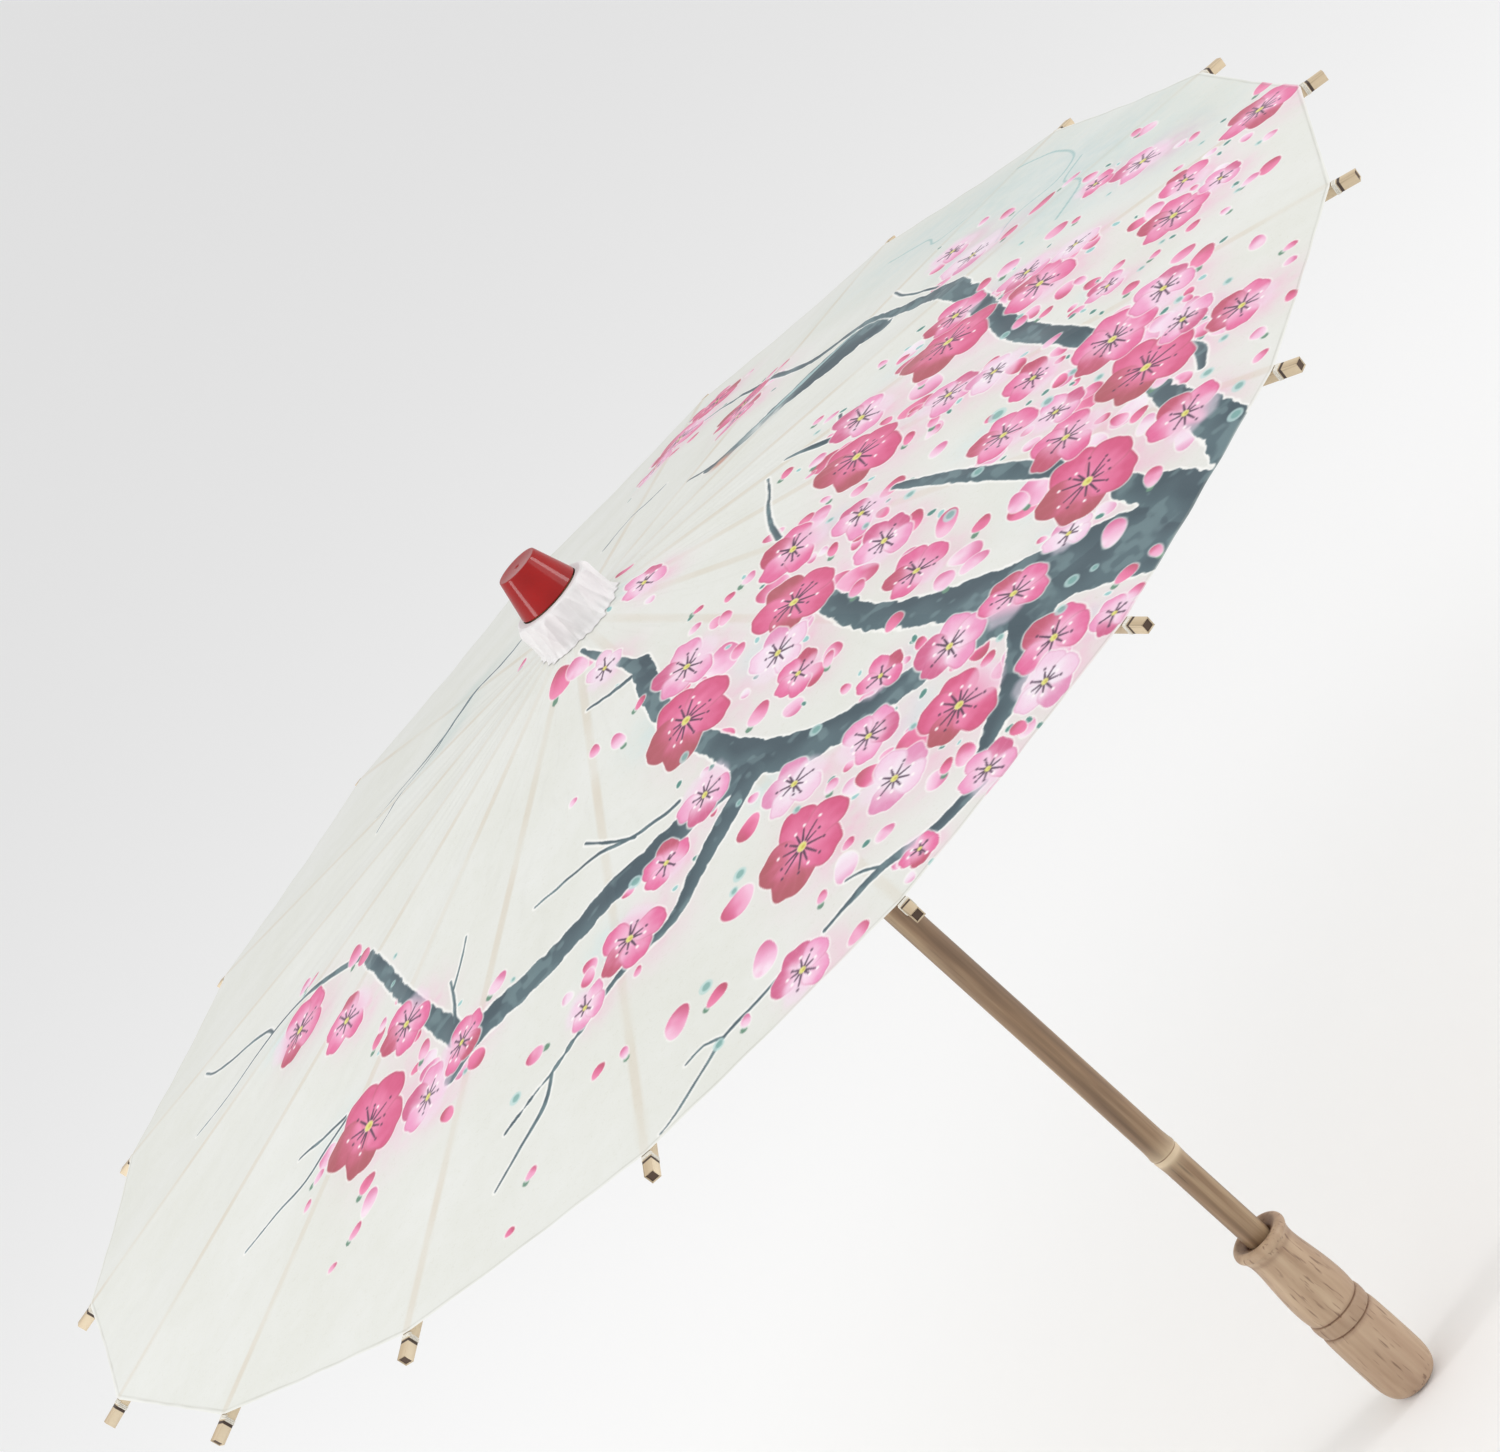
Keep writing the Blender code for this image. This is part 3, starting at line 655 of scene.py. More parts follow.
# Branches: the points of each, then its widths there
BRANCHES = (
    # the old trunk, from the rim inwards, and its forks
    (((176, -226), (150, -206), (122, -188), (100, -168), (84, -150), (76, -128), (71, -108)),
     (36, 32, 24, 15, 11, 9, 5)),
    (((176, -212), (170, -196), (162, -180)), (20, 15, 9)),
    (((192, -206), (194, -186), (189, -160), (187, -140)), (17, 15, 10, 6)),
    (((200, -150), (203, -138), (200, -126)), (3, 4, 3)),
    (((150, -206), (124, -204), (98, -194), (72, -188), (48, -180), (34, -166), (26, -150)),
     (20, 14, 10, 12, 15, 13, 9)),
    (((28, -154), (20, -132), (15, -110), (15, -90), (16, -75)), (9, 8, 8, 9, 7)),
    (((16, -80), (10, -64), (4, -50), (1, -42)), (6, 3, 2.4, 1.6)),
    (((122, -206), (112, -222), (98, -236), (88, -246)), (18, 12, 9, 6)),
    # the long arm to the left, and its rise
    (((34, -172), (16, -165), (0, -163), (-30, -163), (-60, -160), (-82, -158), (-98, -162)),
     (9, 11, 11, 11, 11, 11, 6)),
    (((-90, -150), (-94, -136), (-100, -116), (-106, -92), (-111, -68), (-115, -52)),
     (8, 8, 6, 5.5, 5.5, 5)),
    (((-119, -44), (-128, -34), (-142, -22), (-160, -7), (-176, -1), (-196, 2), (-215, 10)),
     (2.6, 2.6, 2.2, 2.0, 1.6, 1.2, 0.7)),
    (((-168, -2), (-172, 8), (-184, 22), (-198, 36), (-206, 46), (-211, 57)),
     (1.4, 1.5, 1.4, 1.2, 1.0, 0.6)),
    # the lower arm
    (((30, -172), (14, -180), (0, -188), (-12, -197), (-40, -200), (-62, -205), (-87, -209)),
     (9, 9, 7, 4.5, 2.6, 1.8, 1.1)),
    (((-66, -206), (-72, -215), (-84, -221), (-97, -227)), (1.4, 1.8, 1.4, 0.9)),
    # twigs
    (((-138, -121), (-150, -121), (-162, -122), (-178, -117), (-194, -114)), (1.8, 1.6, 1.4, 1.0, 0.8)),
    (((-140, -119), (-151, -113), (-157, -109), (-163, -106)), (1.6, 1.5, 1.2, 0.8)),
    (((-90, -140), (-88, -130), (-87, -119)), (1.8, 1.3, 0.8)),
    (((-87, -124), (-81, -116), (-76, -108)), (1.2, 0.9, 0.6)),
    (((6, -152), (-4, -150), (-14, -147), (-26, -140), (-38, -135), (-50, -132)),
     (1.8, 1.7, 1.5, 1.3, 1.1, 0.8)),
    (((-11, -149), (-19, -141), (-26, -130)), (1.3, 1.1, 0.7)),
    (((11, -78), (2, -75), (-6, -73)), (1.8, 1.6, 1.0)),
    # the right arm, past the bird
    (((181, -84), (176, -72), (170, -55), (165, -36), (163, -16), (161, 6), (160, 26)),
     (8, 9, 9, 9, 8, 9, 9)),
    (((160, 22), (156, 42), (149, 53), (139, 63), (128, 74), (116, 83), (106, 86)),
     (9, 11, 9, 7, 6, 6, 5)),
    (((106, 86), (97, 95), (90, 108), (83, 124), (76, 142), (66, 160), (54, 172)),
     (4.5, 4, 3.6, 3.2, 2.6, 2.0, 1.2)),
    (((153, 60), (147, 70), (142, 80), (140, 92)), (1.6, 1.4, 1.2, 0.8)),
    (((150, -146), (138, -128), (124, -108), (110, -90)), (7, 7, 6, 3.5)),
    (((72, -70), (72, -56), (75, -42), (78, -26)), (2.4, 1.8, 1.2, 0.7)),
    (((106, -30), (97, -26), (86, -20)), (2.4, 2.8, 1.8)),
    (((106, -22), (107, -12)), (2.2, 1.2)),
    # the twigs along the near rim
    (((84, -256), (66, -259), (48, -257), (26, -259)), (5, 4.5, 3.4, 1.4)),
    (((50, -258), (44, -252), (38, -249)), (1.4, 1.1, 0.7)),
    (((8, -259), (-13, -261), (-20, -264), (-35, -272), (-42, -274)), (1.3, 1.5, 1.2, 0.9, 0.6)),
    (((-14, -261), (-20, -257), (-27, -258)), (1.1, 0.9, 0.6)),
    # far twigs, beyond the crown
    (((-20, 10), (-34, 18), (-50, 28), (-66, 36), (-84, 46), (-104, 54)), (4, 6, 5, 4, 3, 1.0)),
    (((-60, 33), (-74, 34), (-88, 36), (-104, 38)), (2.6, 2.2, 1.6, 0.8)),
    (((20, 22), (26, 34), (36, 44), (44, 60)), (3, 2.4, 1.6, 1.0)),
)

# Blossoms: place, size, turn, tone, faded petals and deep petals
BLOSSOMS = (
    (-153, -32, 15, 20, MAGENTA, (2,), (3,)),
    (-130, -71, 12, 70, MAGENTA, (4,), (0,)),
    (-107, -114, 12.5, 40, MAGENTA, (0,), (2,)),
    (-132, -137, 19, 95, CRIMSON, (), (1, 2)),
    (-108, -157, 13, 60, PINK, (3, 4), (1,)),
    (-90, -153, 11, 10, MAGENTA, (2,), (4,)),
    (29, -35, 9.5, 50, PINK, (3,), (0,)),
    (5, -61, 8.5, 0, PALE, (3, 4), ()),
    (28, -96, 13, 80, PINK, (4,), (1,)),
    (20, -122, 18, 100, CRIMSON, (), (1, 2)),
    (14, -160, 12, 30, PINK, (0, 1), (3,)),
    (74, -82, 13.5, 60, MAGENTA, (4,), (1,)),
    (97, -92, 11.5, 100, PINK, (3, 4), (0,)),
    (98, -114, 12, 20, PINK, (3,), (0, 1)),
    (66, -110, 17, 90, CRIMSON, (), (0, 2)),
    (54, -127, 12, 0, PALE, (3,), (1,)),
    (56, -144, 10, 45, MAGENTA, (4,), (0,)),
    (101, -142, 13, 80, MAGENTA, (3,), (1,)),
    (-26, -189, 13.5, 55, MAGENTA, (0,), (2,)),
    (-48, -196, 9, 20, PINK, (1, 2), ()),
    (-6, -172, 10, 0, MAGENTA, (4,), (1,)),
    (39, -192, 12, 75, PALE, (4,), (0, 1)),
    (64, -198, 11.5, 35, PINK, (2,), (4,)),
    (76, -177, 9, 10, MAGENTA, (3,), (0,)),
    (97, -191, 13, 60, PINK, (), (1, 2)),
    (32, -220, 18, 85, CRIMSON, (), (1, 2)),
    (64, -225, 13, 15, PALE, (2,), (0, 3)),
    (90, -218, 16, 70, CRIMSON, (4,), (2,)),
    (122, -225, 13.5, 40, MAGENTA, (3,), (1,)),
    (120, -191, 13, 90, MAGENTA, (2,), (0,)),
    (142, -182, 9, 20, PALE, (3,), (1,)),
    (113, -239, 12, 55, PALE, (1,), (3,)),
    (87, -253, 10.5, 30, PINK, (3,), (0,)),
    (139, -236, 9, 80, PINK, (4,), (2,)),
    (15, -265, 12, 90, PINK, (2,), (0, 1)),
    (60, -262, 7, 40, MAGENTA, (1,), (3,)),
    (155, -164, 19, 95, CRIMSON, (), (1, 2)),
    (188, -169, 13, 25, MAGENTA, (3, 4), (1,)),
    (158, -135, 14, 60, MAGENTA, (4,), (2,)),
    (144, -105, 13, 80, MAGENTA, (3,), (1,)),
    (160, -114, 10.5, 10, PINK, (2, 3), (0,)),
    (188, -126, 19, 90, CRIMSON, (), (1, 2)),
    (220, -130, 13, 35, MAGENTA, (4,), (1, 2)),
    (186, -95, 16, 65, MAGENTA, (), (2,)),
    (207, -87, 12, 45, PINK, (3,), (0,)),
    (205, -113, 11, 5, PINK, (1, 2), (4,)),
    (161, -84, 11, 70, MAGENTA, (3, 4), (0,)),
    (105, -55, 17.5, 95, CRIMSON, (), (1, 2)),
    (138, -56, 13, 30, PINK, (2,), (0,)),
    (153, -63, 11.5, 75, PALE, (3, 4), (1,)),
    (112, -27, 13, 50, PINK, (4,), (1, 2)),
    (147, -15, 19, 90, CRIMSON, (), (1, 2)),
    (180, -18, 14, 60, MAGENTA, (3,), (1,)),
    (153, 10, 13, 20, MAGENTA, (4,), (2,)),
    (179, 4, 12, 80, PINK, (0, 4), (2,)),
    (196, -4, 10, 40, PALE, (0, 1), ()),
    (224, -35, 14, 70, MAGENTA, (), (1,)),
    (242, -31, 8, 20, PINK, (3,), (0,)),
    (234, -14, 10, 95, MAGENTA, (2, 3), (0,)),
    (266, 4, 15, 45, MAGENTA, (), (1, 3)),
    (195, -55, 8.5, 60, PINK, (4,), (1,)),
    (229, 39, 13, 85, PINK, (3, 4), (1,)),
    (213, 49, 8, 25, MAGENTA, (1, 2), ()),
    (168, 70, 14, 30, PALE, (0, 1, 4), (3,)),
    (163, 96, 11, 60, PINK, (0, 1, 2, 4), ()),
    (44, 178, 17, 80, MAGENTA, (4,), (1,)),
    (60, 208, 12, 20, CRIMSON, (), (0,)),
    (76, 110, 15, 60, CRIMSON, (3,), (1,)),
    (74, 84, 12, 10, MAGENTA, (2,), (0,)),
    (34, 150, 10, 40, PINK, (3,), (1,)),
)

# Buds: place, length and turn
BUDS = (
    (-121, -38, 10, 70), (-117, -47, 9, 110), (-148, -6, 9, 100), (-143, -12, 6, 20),
    (-119, -103, 8, 45), (-116, -99, 6, 60), (-104, -134, 8, 60), (-105, -124, 5, 20),
    (-156, -130, 6, 0), (-163, -137, 5, 60), (-139, -160, 8, 30), (-140, -169, 10, 60),
    (-148, -174, 6, 20), (-103, -176, 8, 120), (-71, -147, 8, 30), (-160, -177, 4, 0),
    (-10, -46, 15, 60), (-3, -48, 12, 100), (-20, -14, 7, 80), (25, -19, 7, 170),
    (-2, -100, 8, 100), (-10, -95, 6, 70), (10, -93, 5, 20), (-24, -106, 4, 0), (40, -147, 10, 40),
    (50, -80, 5, 60), (58, -78, 6, 20), (46, -90, 7, 60), (40, -74, 4, 10), (36, -82, 5, 0),
    (-69, -192, 8, 160), (-52, -226, 6, 20), (-42, -231, 5, 90), (-24, -239, 12, 45), (-10, -243, 8, 20),
    (7, -247, 13, 60), (-84, -235, 5, 30), (-97, -248, 4, 0), (-6, -263, 5, 60), (-28, -205, 4, 60),
    (121, -66, 6, 45), (128, -72, 6, 20), (130, -67, 6, 60), (118, -42, 6, 120), (94, -36, 8, 60),
    (90, -44, 4, 10), (84, -30, 6, 40), (104, -8, 6, 20), (100, -3, 5, 50), (166, 22, 8, 70),
    (175, 22, 11, 60), (194, 27, 10, 20), (201, 24, 5, 70), (237, 71, 10, 160), (234, 75, 6, 80),
    (255, -48, 10, 60), (248, -48, 7, 30), (246, 26, 6, 60), (274, 29, 12, 40), (262, -24, 6, 20),
    (212, -56, 5, 40), (226, -54, 6, 20), (236, -60, 5, 100), (218, -72, 10, 30), (222, -84, 12, 60),
    (236, -100, 8, 90), (242, -116, 5, 0), (232, -145, 6, 60), (218, -154, 7, 100), (214, -168, 6, 20),
    (210, -190, 7, 60), (228, -170, 5, 140), (170, -186, 9, 60), (178, -152, 7, 30), (136, -148, 10, 100),
    (116, -130, 12, 60), (124, -144, 8, 45), (116, -160, 10, 10), (84, -128, 8, 60), (82, -70, 7, 45),
    (90, -66, 5, 100), (100, -75, 7, 20), (84, -98, 6, 60), (126, -85, 8, 30), (66, -150, 6, 60),
    (88, -160, 8, 20), (106, -158, 10, 80), (44, -110, 7, 50), (148, -222, 8, 20), (152, -198, 12, 60),
    (158, -222, 6, 90), (104, -210, 6, 30), (48, -206, 6, 60), (44, -236, 5, 20), (78, -238, 6, 60),
    (54, -244, 7, 20), (30, -246, 5, 60), (100, -248, 7, 100), (126, -250, 7, 30), (34, -272, 8, 20),
    (182, 62, 10, 60), (177, 110, 6, 50), (185, 96, 9, 100), (196, 70, 12, 30), (208, 74, 8, 20),
    (88, 128, 8, 60), (94, 120, 6, 30), (30, 190, 8, 60), (62, 226, 10, 110), (52, 140, 7, 60),
    (190, -140, 9, 30), (173, -147, 8, 120), (200, -70, 8, 60), (172, -70, 7, 20), (134, -30, 7, 70),
    (132, 2, 6, 30), (126, 10, 5, 80), (168, -36, 7, 60), (176, -42, 6, 20), (190, -36, 6, 100),
)

TEAL_DOTS = (
    (-108, -84, 1.4), (-148, -14, 1.5), (-104, -72, 1.2), (-92, -168, 1.3), (-66, -152, 1.1),
    (-17, -168, 2.6), (-80, -200, 2.4), (12, -206, 2.6), (-12, -236, 2.6), (-16, -262, 2.2),
    (14, -136, 2.2), (22, -178, 1.4), (52, -176, 2.4), (8, -210, 1.8), (36, -204, 1.6),
    (88, -82, 1.6), (112, -102, 2.2), (118, -128, 2.6), (96, -100, 1.6), (132, -118, 2.4),
    (146, -90, 3.4), (160, -104, 2.4), (171, -97, 1.8), (176, -112, 1.8), (208, -100, 1.8),
    (222, -110, 1.8), (210, -142, 1.8), (200, -156, 2.4), (204, -176, 2.4), (198, -188, 2.8),
    (162, -38, 2.0), (169, -32, 1.6), (216, -50, 1.3), (206, -60, 1.6), (243, -50, 1.4),
    (258, -24, 1.4), (246, 12, 1.4), (214, 28, 1.3), (183, 38, 1.2), (98, -14, 1.5),
    (135, -206, 2.6), (110, -206, 1.6), (76, -210, 1.6), (128, -216, 2.2), (142, -208, 1.6),
)


def draw_bird(plan):
    """A small plain bird on the right arm: a slate back, a pale teal wing and a dusty rose cheek."""
    sketched = ((63, 27), (76, 34), (92, 46), (108, 56), (121, 62), (131, 58))
    body = [settled(x, y) for x, y in sketched]
    widths = (8, 13, 20, 24, 20, 9)
    plan.branch(body, widths, body=False)
    plan.branch(body, widths)
    for offset in range(5):
        start = settled(80 + 5 * offset, 40 + 3.2 * offset)
        plan.line(*start, start[0] + 24, start[1] + 15, 3.2, (168, 200, 202), 0.75)
        plan.line(start[0] + 2, start[1] - 2.5, start[0] + 26, start[1] + 10, 1.0, SLATE_DARK, 0.8)
    plan.wash(*settled(84, 36), 13, (216, 220, 218), 0.9)
    plan.wash(*settled(66, 26), 7, (196, 148, 132), 0.9)
    plan.line(*settled(64, 28), *settled(54, 27), 2.2, SLATE_DARK)
    plan.dot(*settled(67, 31), 0.9, (40, 44, 50))


def settled(x, y):
    """Where a place sketched on a cone of SKETCH_SLOPE falls on the real, flatter canopy.

    Both lie on one line of sight from the camera, and the two cones share their rim.
    """
    camera = np.array(camera_spot()) / MM
    rim = RIM_RADIUS / MM

    def height(radius, slope):
        return RIM_Z / MM + (rim - radius) * math.tan(slope)

    place = np.array((x, y, height(math.hypot(x, y), SKETCH_SLOPE)))
    sight = (place - camera) / np.linalg.norm(place - camera)
    for _ in range(30):
        place = place + sight * (place[2] - height(math.hypot(place[0], place[1]), OPEN_SLOPE)) * 1.6
    return float(place[0]), float(place[1])


def scatter_petals(plan, blossoms):
    """Loose petals and drops between the blossoms, thickest where the blossoms crowd."""
    dice = np.random.default_rng(12)
    tones = (CRIMSON, CRIMSON, MAGENTA, MAGENTA, PINK, PALE)
    for x, y, size, *_rest in blossoms:
        crowd = sum(math.hypot(x - other[0], y - other[1]) < 45 for other in blossoms)
        for _ in range(crowd * 2 // 3):
            turn = dice.uniform(0, 2 * math.pi)
            reach = size * dice.uniform(0.8, 1.55)
            length = dice.uniform(3.5, 0.95 * size)
            tone = tones[dice.integers(len(tones))]
            spot = (x + reach * math.cos(turn), y + reach * math.sin(turn))
            plan.bud(*spot, length, math.degrees(turn) + dice.uniform(-50, 50), tone, 0.85)
        for _ in range(crowd // 2):
            turn = dice.uniform(0, 2 * math.pi)
            reach = size * dice.uniform(1.1, 1.9)
            green = (84, 138, 130) if dice.random() < 0.6 else (150, 200, 200)
            spot = (x + reach * math.cos(turn), y + reach * math.sin(turn))
            plan.bud(*spot, dice.uniform(1.6, 3.4), dice.uniform(0, 180), (green, green, green))


def draw_hem(plan, angle, radius):
    """The folded edge of the paper: a pale band, with a faint painted shadow line where the fold ends."""
    middle = (np.floor(angle / PITCH) + 0.5) * PITCH
    inside = RIM_RADIUS / MM * math.cos(PITCH / 2) - radius * np.cos(angle - middle)
    patchy_hem_shadow = smooth_noise(radius.shape, 70, 21)
    # painted shadow: a faint grey line where the fold ends, patchy along the rim
    line = np.clip(1 - np.abs(inside - 1.0) / 0.4, 0, 1) * (0.2 + 0.4 * patchy_hem_shadow)
    plan.lay(EVERYWHERE, line, (170, 168, 158))
    plan.lay(EVERYWHERE, np.clip((0.6 - inside) / 0.3, 0, 1) * 0.7, (238, 238, 233))


def draw_print(pitch):
    plan = Print(pitch)
    angle = np.arctan2(plan.y, plan.x)
    radius = np.hypot(plan.x, plan.y)
    tone = (plan.grain - 0.5)[..., None] * np.array((2.0, 2.0, 3.0))
    plan.colour += tone.astype(np.float32)
    # the ribs show through the oiled paper
    nearest = np.round(angle / PITCH) * PITCH
    across = radius * np.sin(angle - nearest)
    patchy = smooth_noise(radius.shape, 40, 11)
    shade = np.clip((2.2 - np.abs(across)) / 1.0, 0, 1) * (0.2 + 0.45 * patchy)
    shade *= np.clip(radius / 60, 0.35, 1)
    plan.lay(EVERYWHERE, shade, RIB_SHADE)
    # painted shade of thin puckers that fan out from the crown
    fan = np.sin(angle * 63 + 5 * patchy) * np.sin(angle * 41 + 3)
    pucker_shade = np.clip(fan - 0.55, 0, 1) * np.clip(1.1 - radius / 250, 0, 1) * 0.35
    plan.lay(EVERYWHERE, pucker_shade, (206, 206, 200))
    # a distant shore, in pale teal wash, behind the blossoms
    for x, y, size, strength in (
        (215, 95, 60, 0.28), (185, 150, 55, 0.24), (240, 40, 40, 0.22), (150, 190, 50, 0.2),
        (195, 60, 30, 0.2), (-60, 120, 26, 0.2), (-75, 85, 24, 0.22),
    ):
        plan.wash(x, y, size, (184, 206, 206), 1.5 * strength)
    for shore in (
        ((176, 80), (186, 98), (204, 102), (214, 122), (210, 148), (196, 166)),
        ((196, 52), (210, 72), (206, 92), (216, 112)),
        ((140, 196), (156, 176), (158, 156), (172, 148)),
    ):
        path = smooth_path(shore, [1.2] * len(shore))
        for (x0, y0, _), (x1, y1, _) in zip(path, path[1:]):
            plan.line(x0, y0, x1, y1, 1.3, (140, 182, 182), 0.55)
    # washes of pink and teal under the blossoms
    blossoms = [(*settled(x, y), *rest) for x, y, *rest in BLOSSOMS]
    branches = [([settled(x, y) for x, y in points], widths) for points, widths in BRANCHES]
    for index, (x, y, size, *_rest) in enumerate(blossoms):
        plan.wash(x + 0.5 * size, y - 0.4 * size, 1.4 * size, (240, 176, 206), 0.45)
        if index % 3 == 0:
            plan.wash(x - 0.6 * size, y + 0.7 * size, 0.9 * size, (196, 222, 224), 0.35)
    scatter_petals(plan, blossoms)
    for points, widths in branches:
        plan.branch(points, widths, body=False)
    for points, widths in branches:
        plan.branch(points, widths)
    draw_bird(plan)
    for index, (x, y, length, turn) in enumerate(BUDS):
        x, y = settled(x, y)
        tone = (MAGENTA, CRIMSON, PINK)[index % 3]
        c, s = math.cos(math.radians(turn)), math.sin(math.radians(turn))
        if index % 2 == 0:
            base = 0.42 * length
            plan.line(x - base * c, y - base * s, x - 1.7 * base * c, y - 1.7 * base * s, 1.0, SLATE)
            for lean in (-0.5, 0.0, 0.5):
                tip = (x - 0.1 * length * math.cos(lean) * c, y - 0.1 * length * s)
                plan.line(x - 1.5 * base * c, y - 1.5 * base * s, *tip, 2.4, CALYX)
        plan.bud(x, y, length, turn, tone)
    for x, y, size, turn, colours, faded, deep in blossoms:
        plan.blossom(x, y, size, turn, colours, faded=faded, deep=deep)
    for x, y, size in TEAL_DOTS:
        x, y = settled(x, y)
        plan.dot(x, y, size, TEAL_WASH, 0.8)
        plan.dot(x + 0.2, y, 0.6 * size, TEAL, 0.55)
    draw_hem(plan, angle, radius)
    return plan


# Making meshes


def mesh_of(work, name, *finishes):
    """A finished bmesh becomes a mesh with its materials."""
    mesh = bpy.data.meshes.new(name)
    work.to_mesh(mesh)
    work.free()
    for finish in finishes:
        mesh.materials.append(finish)
    return mesh


def show(mesh, name, body):
    """A mesh becomes a piece that rides on a body."""
    piece = bpy.data.objects.new(name, mesh)
    bpy.context.scene.collection.objects.link(piece)
    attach(piece, body)
    return piece


def new_piece(work, name, finish, body):
    return show(mesh_of(work, name, finish), name, body)


def smooth(piece, angle=35):
    piece.data.shade_smooth()
    piece.data.set_sharp_from_angle(angle=math.radians(angle))


def rib_matrix(index):
    """From a rib's own frame to the row frame."""
    turn = index * PITCH
    pivot = Matrix.Translation((PIVOT_RADIUS * math.cos(turn), PIVOT_RADIUS * math.sin(turn), HUB_PIVOT_Z))
    return pivot @ Matrix.Rotation(turn, 4, "Z") @ Matrix.Rotation(OPEN_SLOPE, 4, "Y")


def rib_axes(index):
    """The pivot, and the rib's three directions, as rows."""
    matrix = np.array(rib_matrix(index))
    return matrix[:3, 3], matrix[:3, :3].T


def on_rib(index, along, across, up):
    pivot, axes = rib_axes(index)
    return pivot + along[:, None] * axes[0] + across[:, None] * axes[1] + up[:, None] * axes[2]


def ripples(places):
    """Small puckers of the paper, the same on both sides of a seam, in metres."""
    angle = np.arctan2(places[:, 1], places[:, 0])
    radius = np.hypot(places[:, 0], places[:, 1])
    wave = np.sin(angle * 47 + 22 * radius) * np.sin(angle * 29 - 31 * radius + 1.3)
    wave += 0.6 * np.sin(angle * 83 + 1) * np.sin(radius * 60 + angle * 7)
    return 0.16 * MM * wave * np.clip(radius / 0.12, 0.15, 1)


def half_bay_points(index, side, share_along, share_across):
    """Paper from the edge of a rib (0) to the middle of the bay (1), at shares of its length."""
    bow = RIM_BOW * np.sin(share_across * math.pi / 2)
    along = PAPER_START + (PAPER_END - bow - PAPER_START) * share_along
    height = np.full_like(along, PAPER_HEIGHT)
    at_edge = on_rib(index, along, np.full_like(along, side * STRIP_HALF_WIDTH), height)
    ridge = on_rib(index, along, np.zeros_like(along), height)
    beyond = on_rib(index + side, along, np.zeros_like(along), height)
    middle = (ridge + beyond) / 2
    # near the crown the strip is wider than the bay, so the edge stops at the bay's middle
    reach = np.linalg.norm(middle - ridge, axis=1)
    limit = np.minimum(1, 0.9 * reach / STRIP_HALF_WIDTH)[:, None]
    at_edge = ridge + (at_edge - ridge) * limit
    places = at_edge + (middle - at_edge) * share_across[:, None]
    dip = SAG * np.sin(share_along * 2.6) * np.sin(share_across * math.pi / 2)
    lift = ripples(places) * np.sin(share_across * math.pi / 2)
    places[:, 2] += lift - dip
    return places


def strip_points(index, share_along, across_share):
    """The narrow strip of paper glued along the top of a rib, across_share from -1 to 1."""
    along = PAPER_START + (PAPER_END - PAPER_START) * share_along
    height = np.full_like(along, PAPER_HEIGHT)
    ridge = on_rib(index, along, np.zeros_like(along), height)
    beyond = on_rib(index + 1, along, np.zeros_like(along), height)
    reach = np.linalg.norm(beyond - ridge, axis=1) / 2
    half = np.minimum(STRIP_HALF_WIDTH, 0.9 * reach)
    return on_rib(index, along, across_share * half, height)


def detail_levels(plan):
    """How fast the print changes near each point of the plan, on a 1 mm and a 2 mm grid."""
    change = np.abs(np.diff(plan.colour, axis=0, append=plan.colour[-1:])).sum(2)
    change += np.abs(np.diff(plan.colour, axis=1, append=plan.colour[:, -1:])).sum(2)
    found = []
    for cell in (2.0, 1.0):
        step = max(1, round(cell / plan.pitch))
        size = plan.count // step * step
        blocks = change[:size, :size].reshape(size // step, step, size // step, step)
        found.append((step * plan.pitch, blocks.max((1, 3))))
    return found


def look_up(plan, table, places):
    """The most the print changes in the cells round each place."""
    cell, change = table
    at = np.clip(((places[:, :2] / MM + plan.REACH) / cell).astype(int), 1, change.shape[0] - 2)
    around = [change[at[:, 1] + j, at[:, 0] + i] for i in (-1, 0, 1) for j in (-1, 0, 1)]
    return np.max(around, axis=0)


def paint(mesh, plan):
    """Carries the print to a mesh as linear colour, by each point's place on the plan."""
    count = len(mesh.vertices)
    places = np.empty(3 * count)
    mesh.vertices.foreach_get("co", places)
    places = places.reshape(-1, 3)
    at = np.clip((places[:, :2] / MM + plan.REACH) / plan.pitch, 0, plan.count - 1.001)
    whole = at.astype(int)
    part = (at - whole)[:, :, None]
    column, row = whole[:, 0], whole[:, 1]
    colour = (
        plan.colour[row, column] * (1 - part[:, 0]) * (1 - part[:, 1])
        + plan.colour[row, column + 1] * part[:, 0] * (1 - part[:, 1])
        + plan.colour[row + 1, column] * (1 - part[:, 0]) * part[:, 1]
        + plan.colour[row + 1, column + 1] * part[:, 0] * part[:, 1]
    )
    rgba = np.ones((count, 4), np.float32)
    rgba[:, :3] = linear(np.clip(colour, 0, 255))
    attribute = mesh.color_attributes.new(name="print", type="FLOAT_COLOR", domain="POINT")
    attribute.data.foreach_set("color", rgba.ravel())


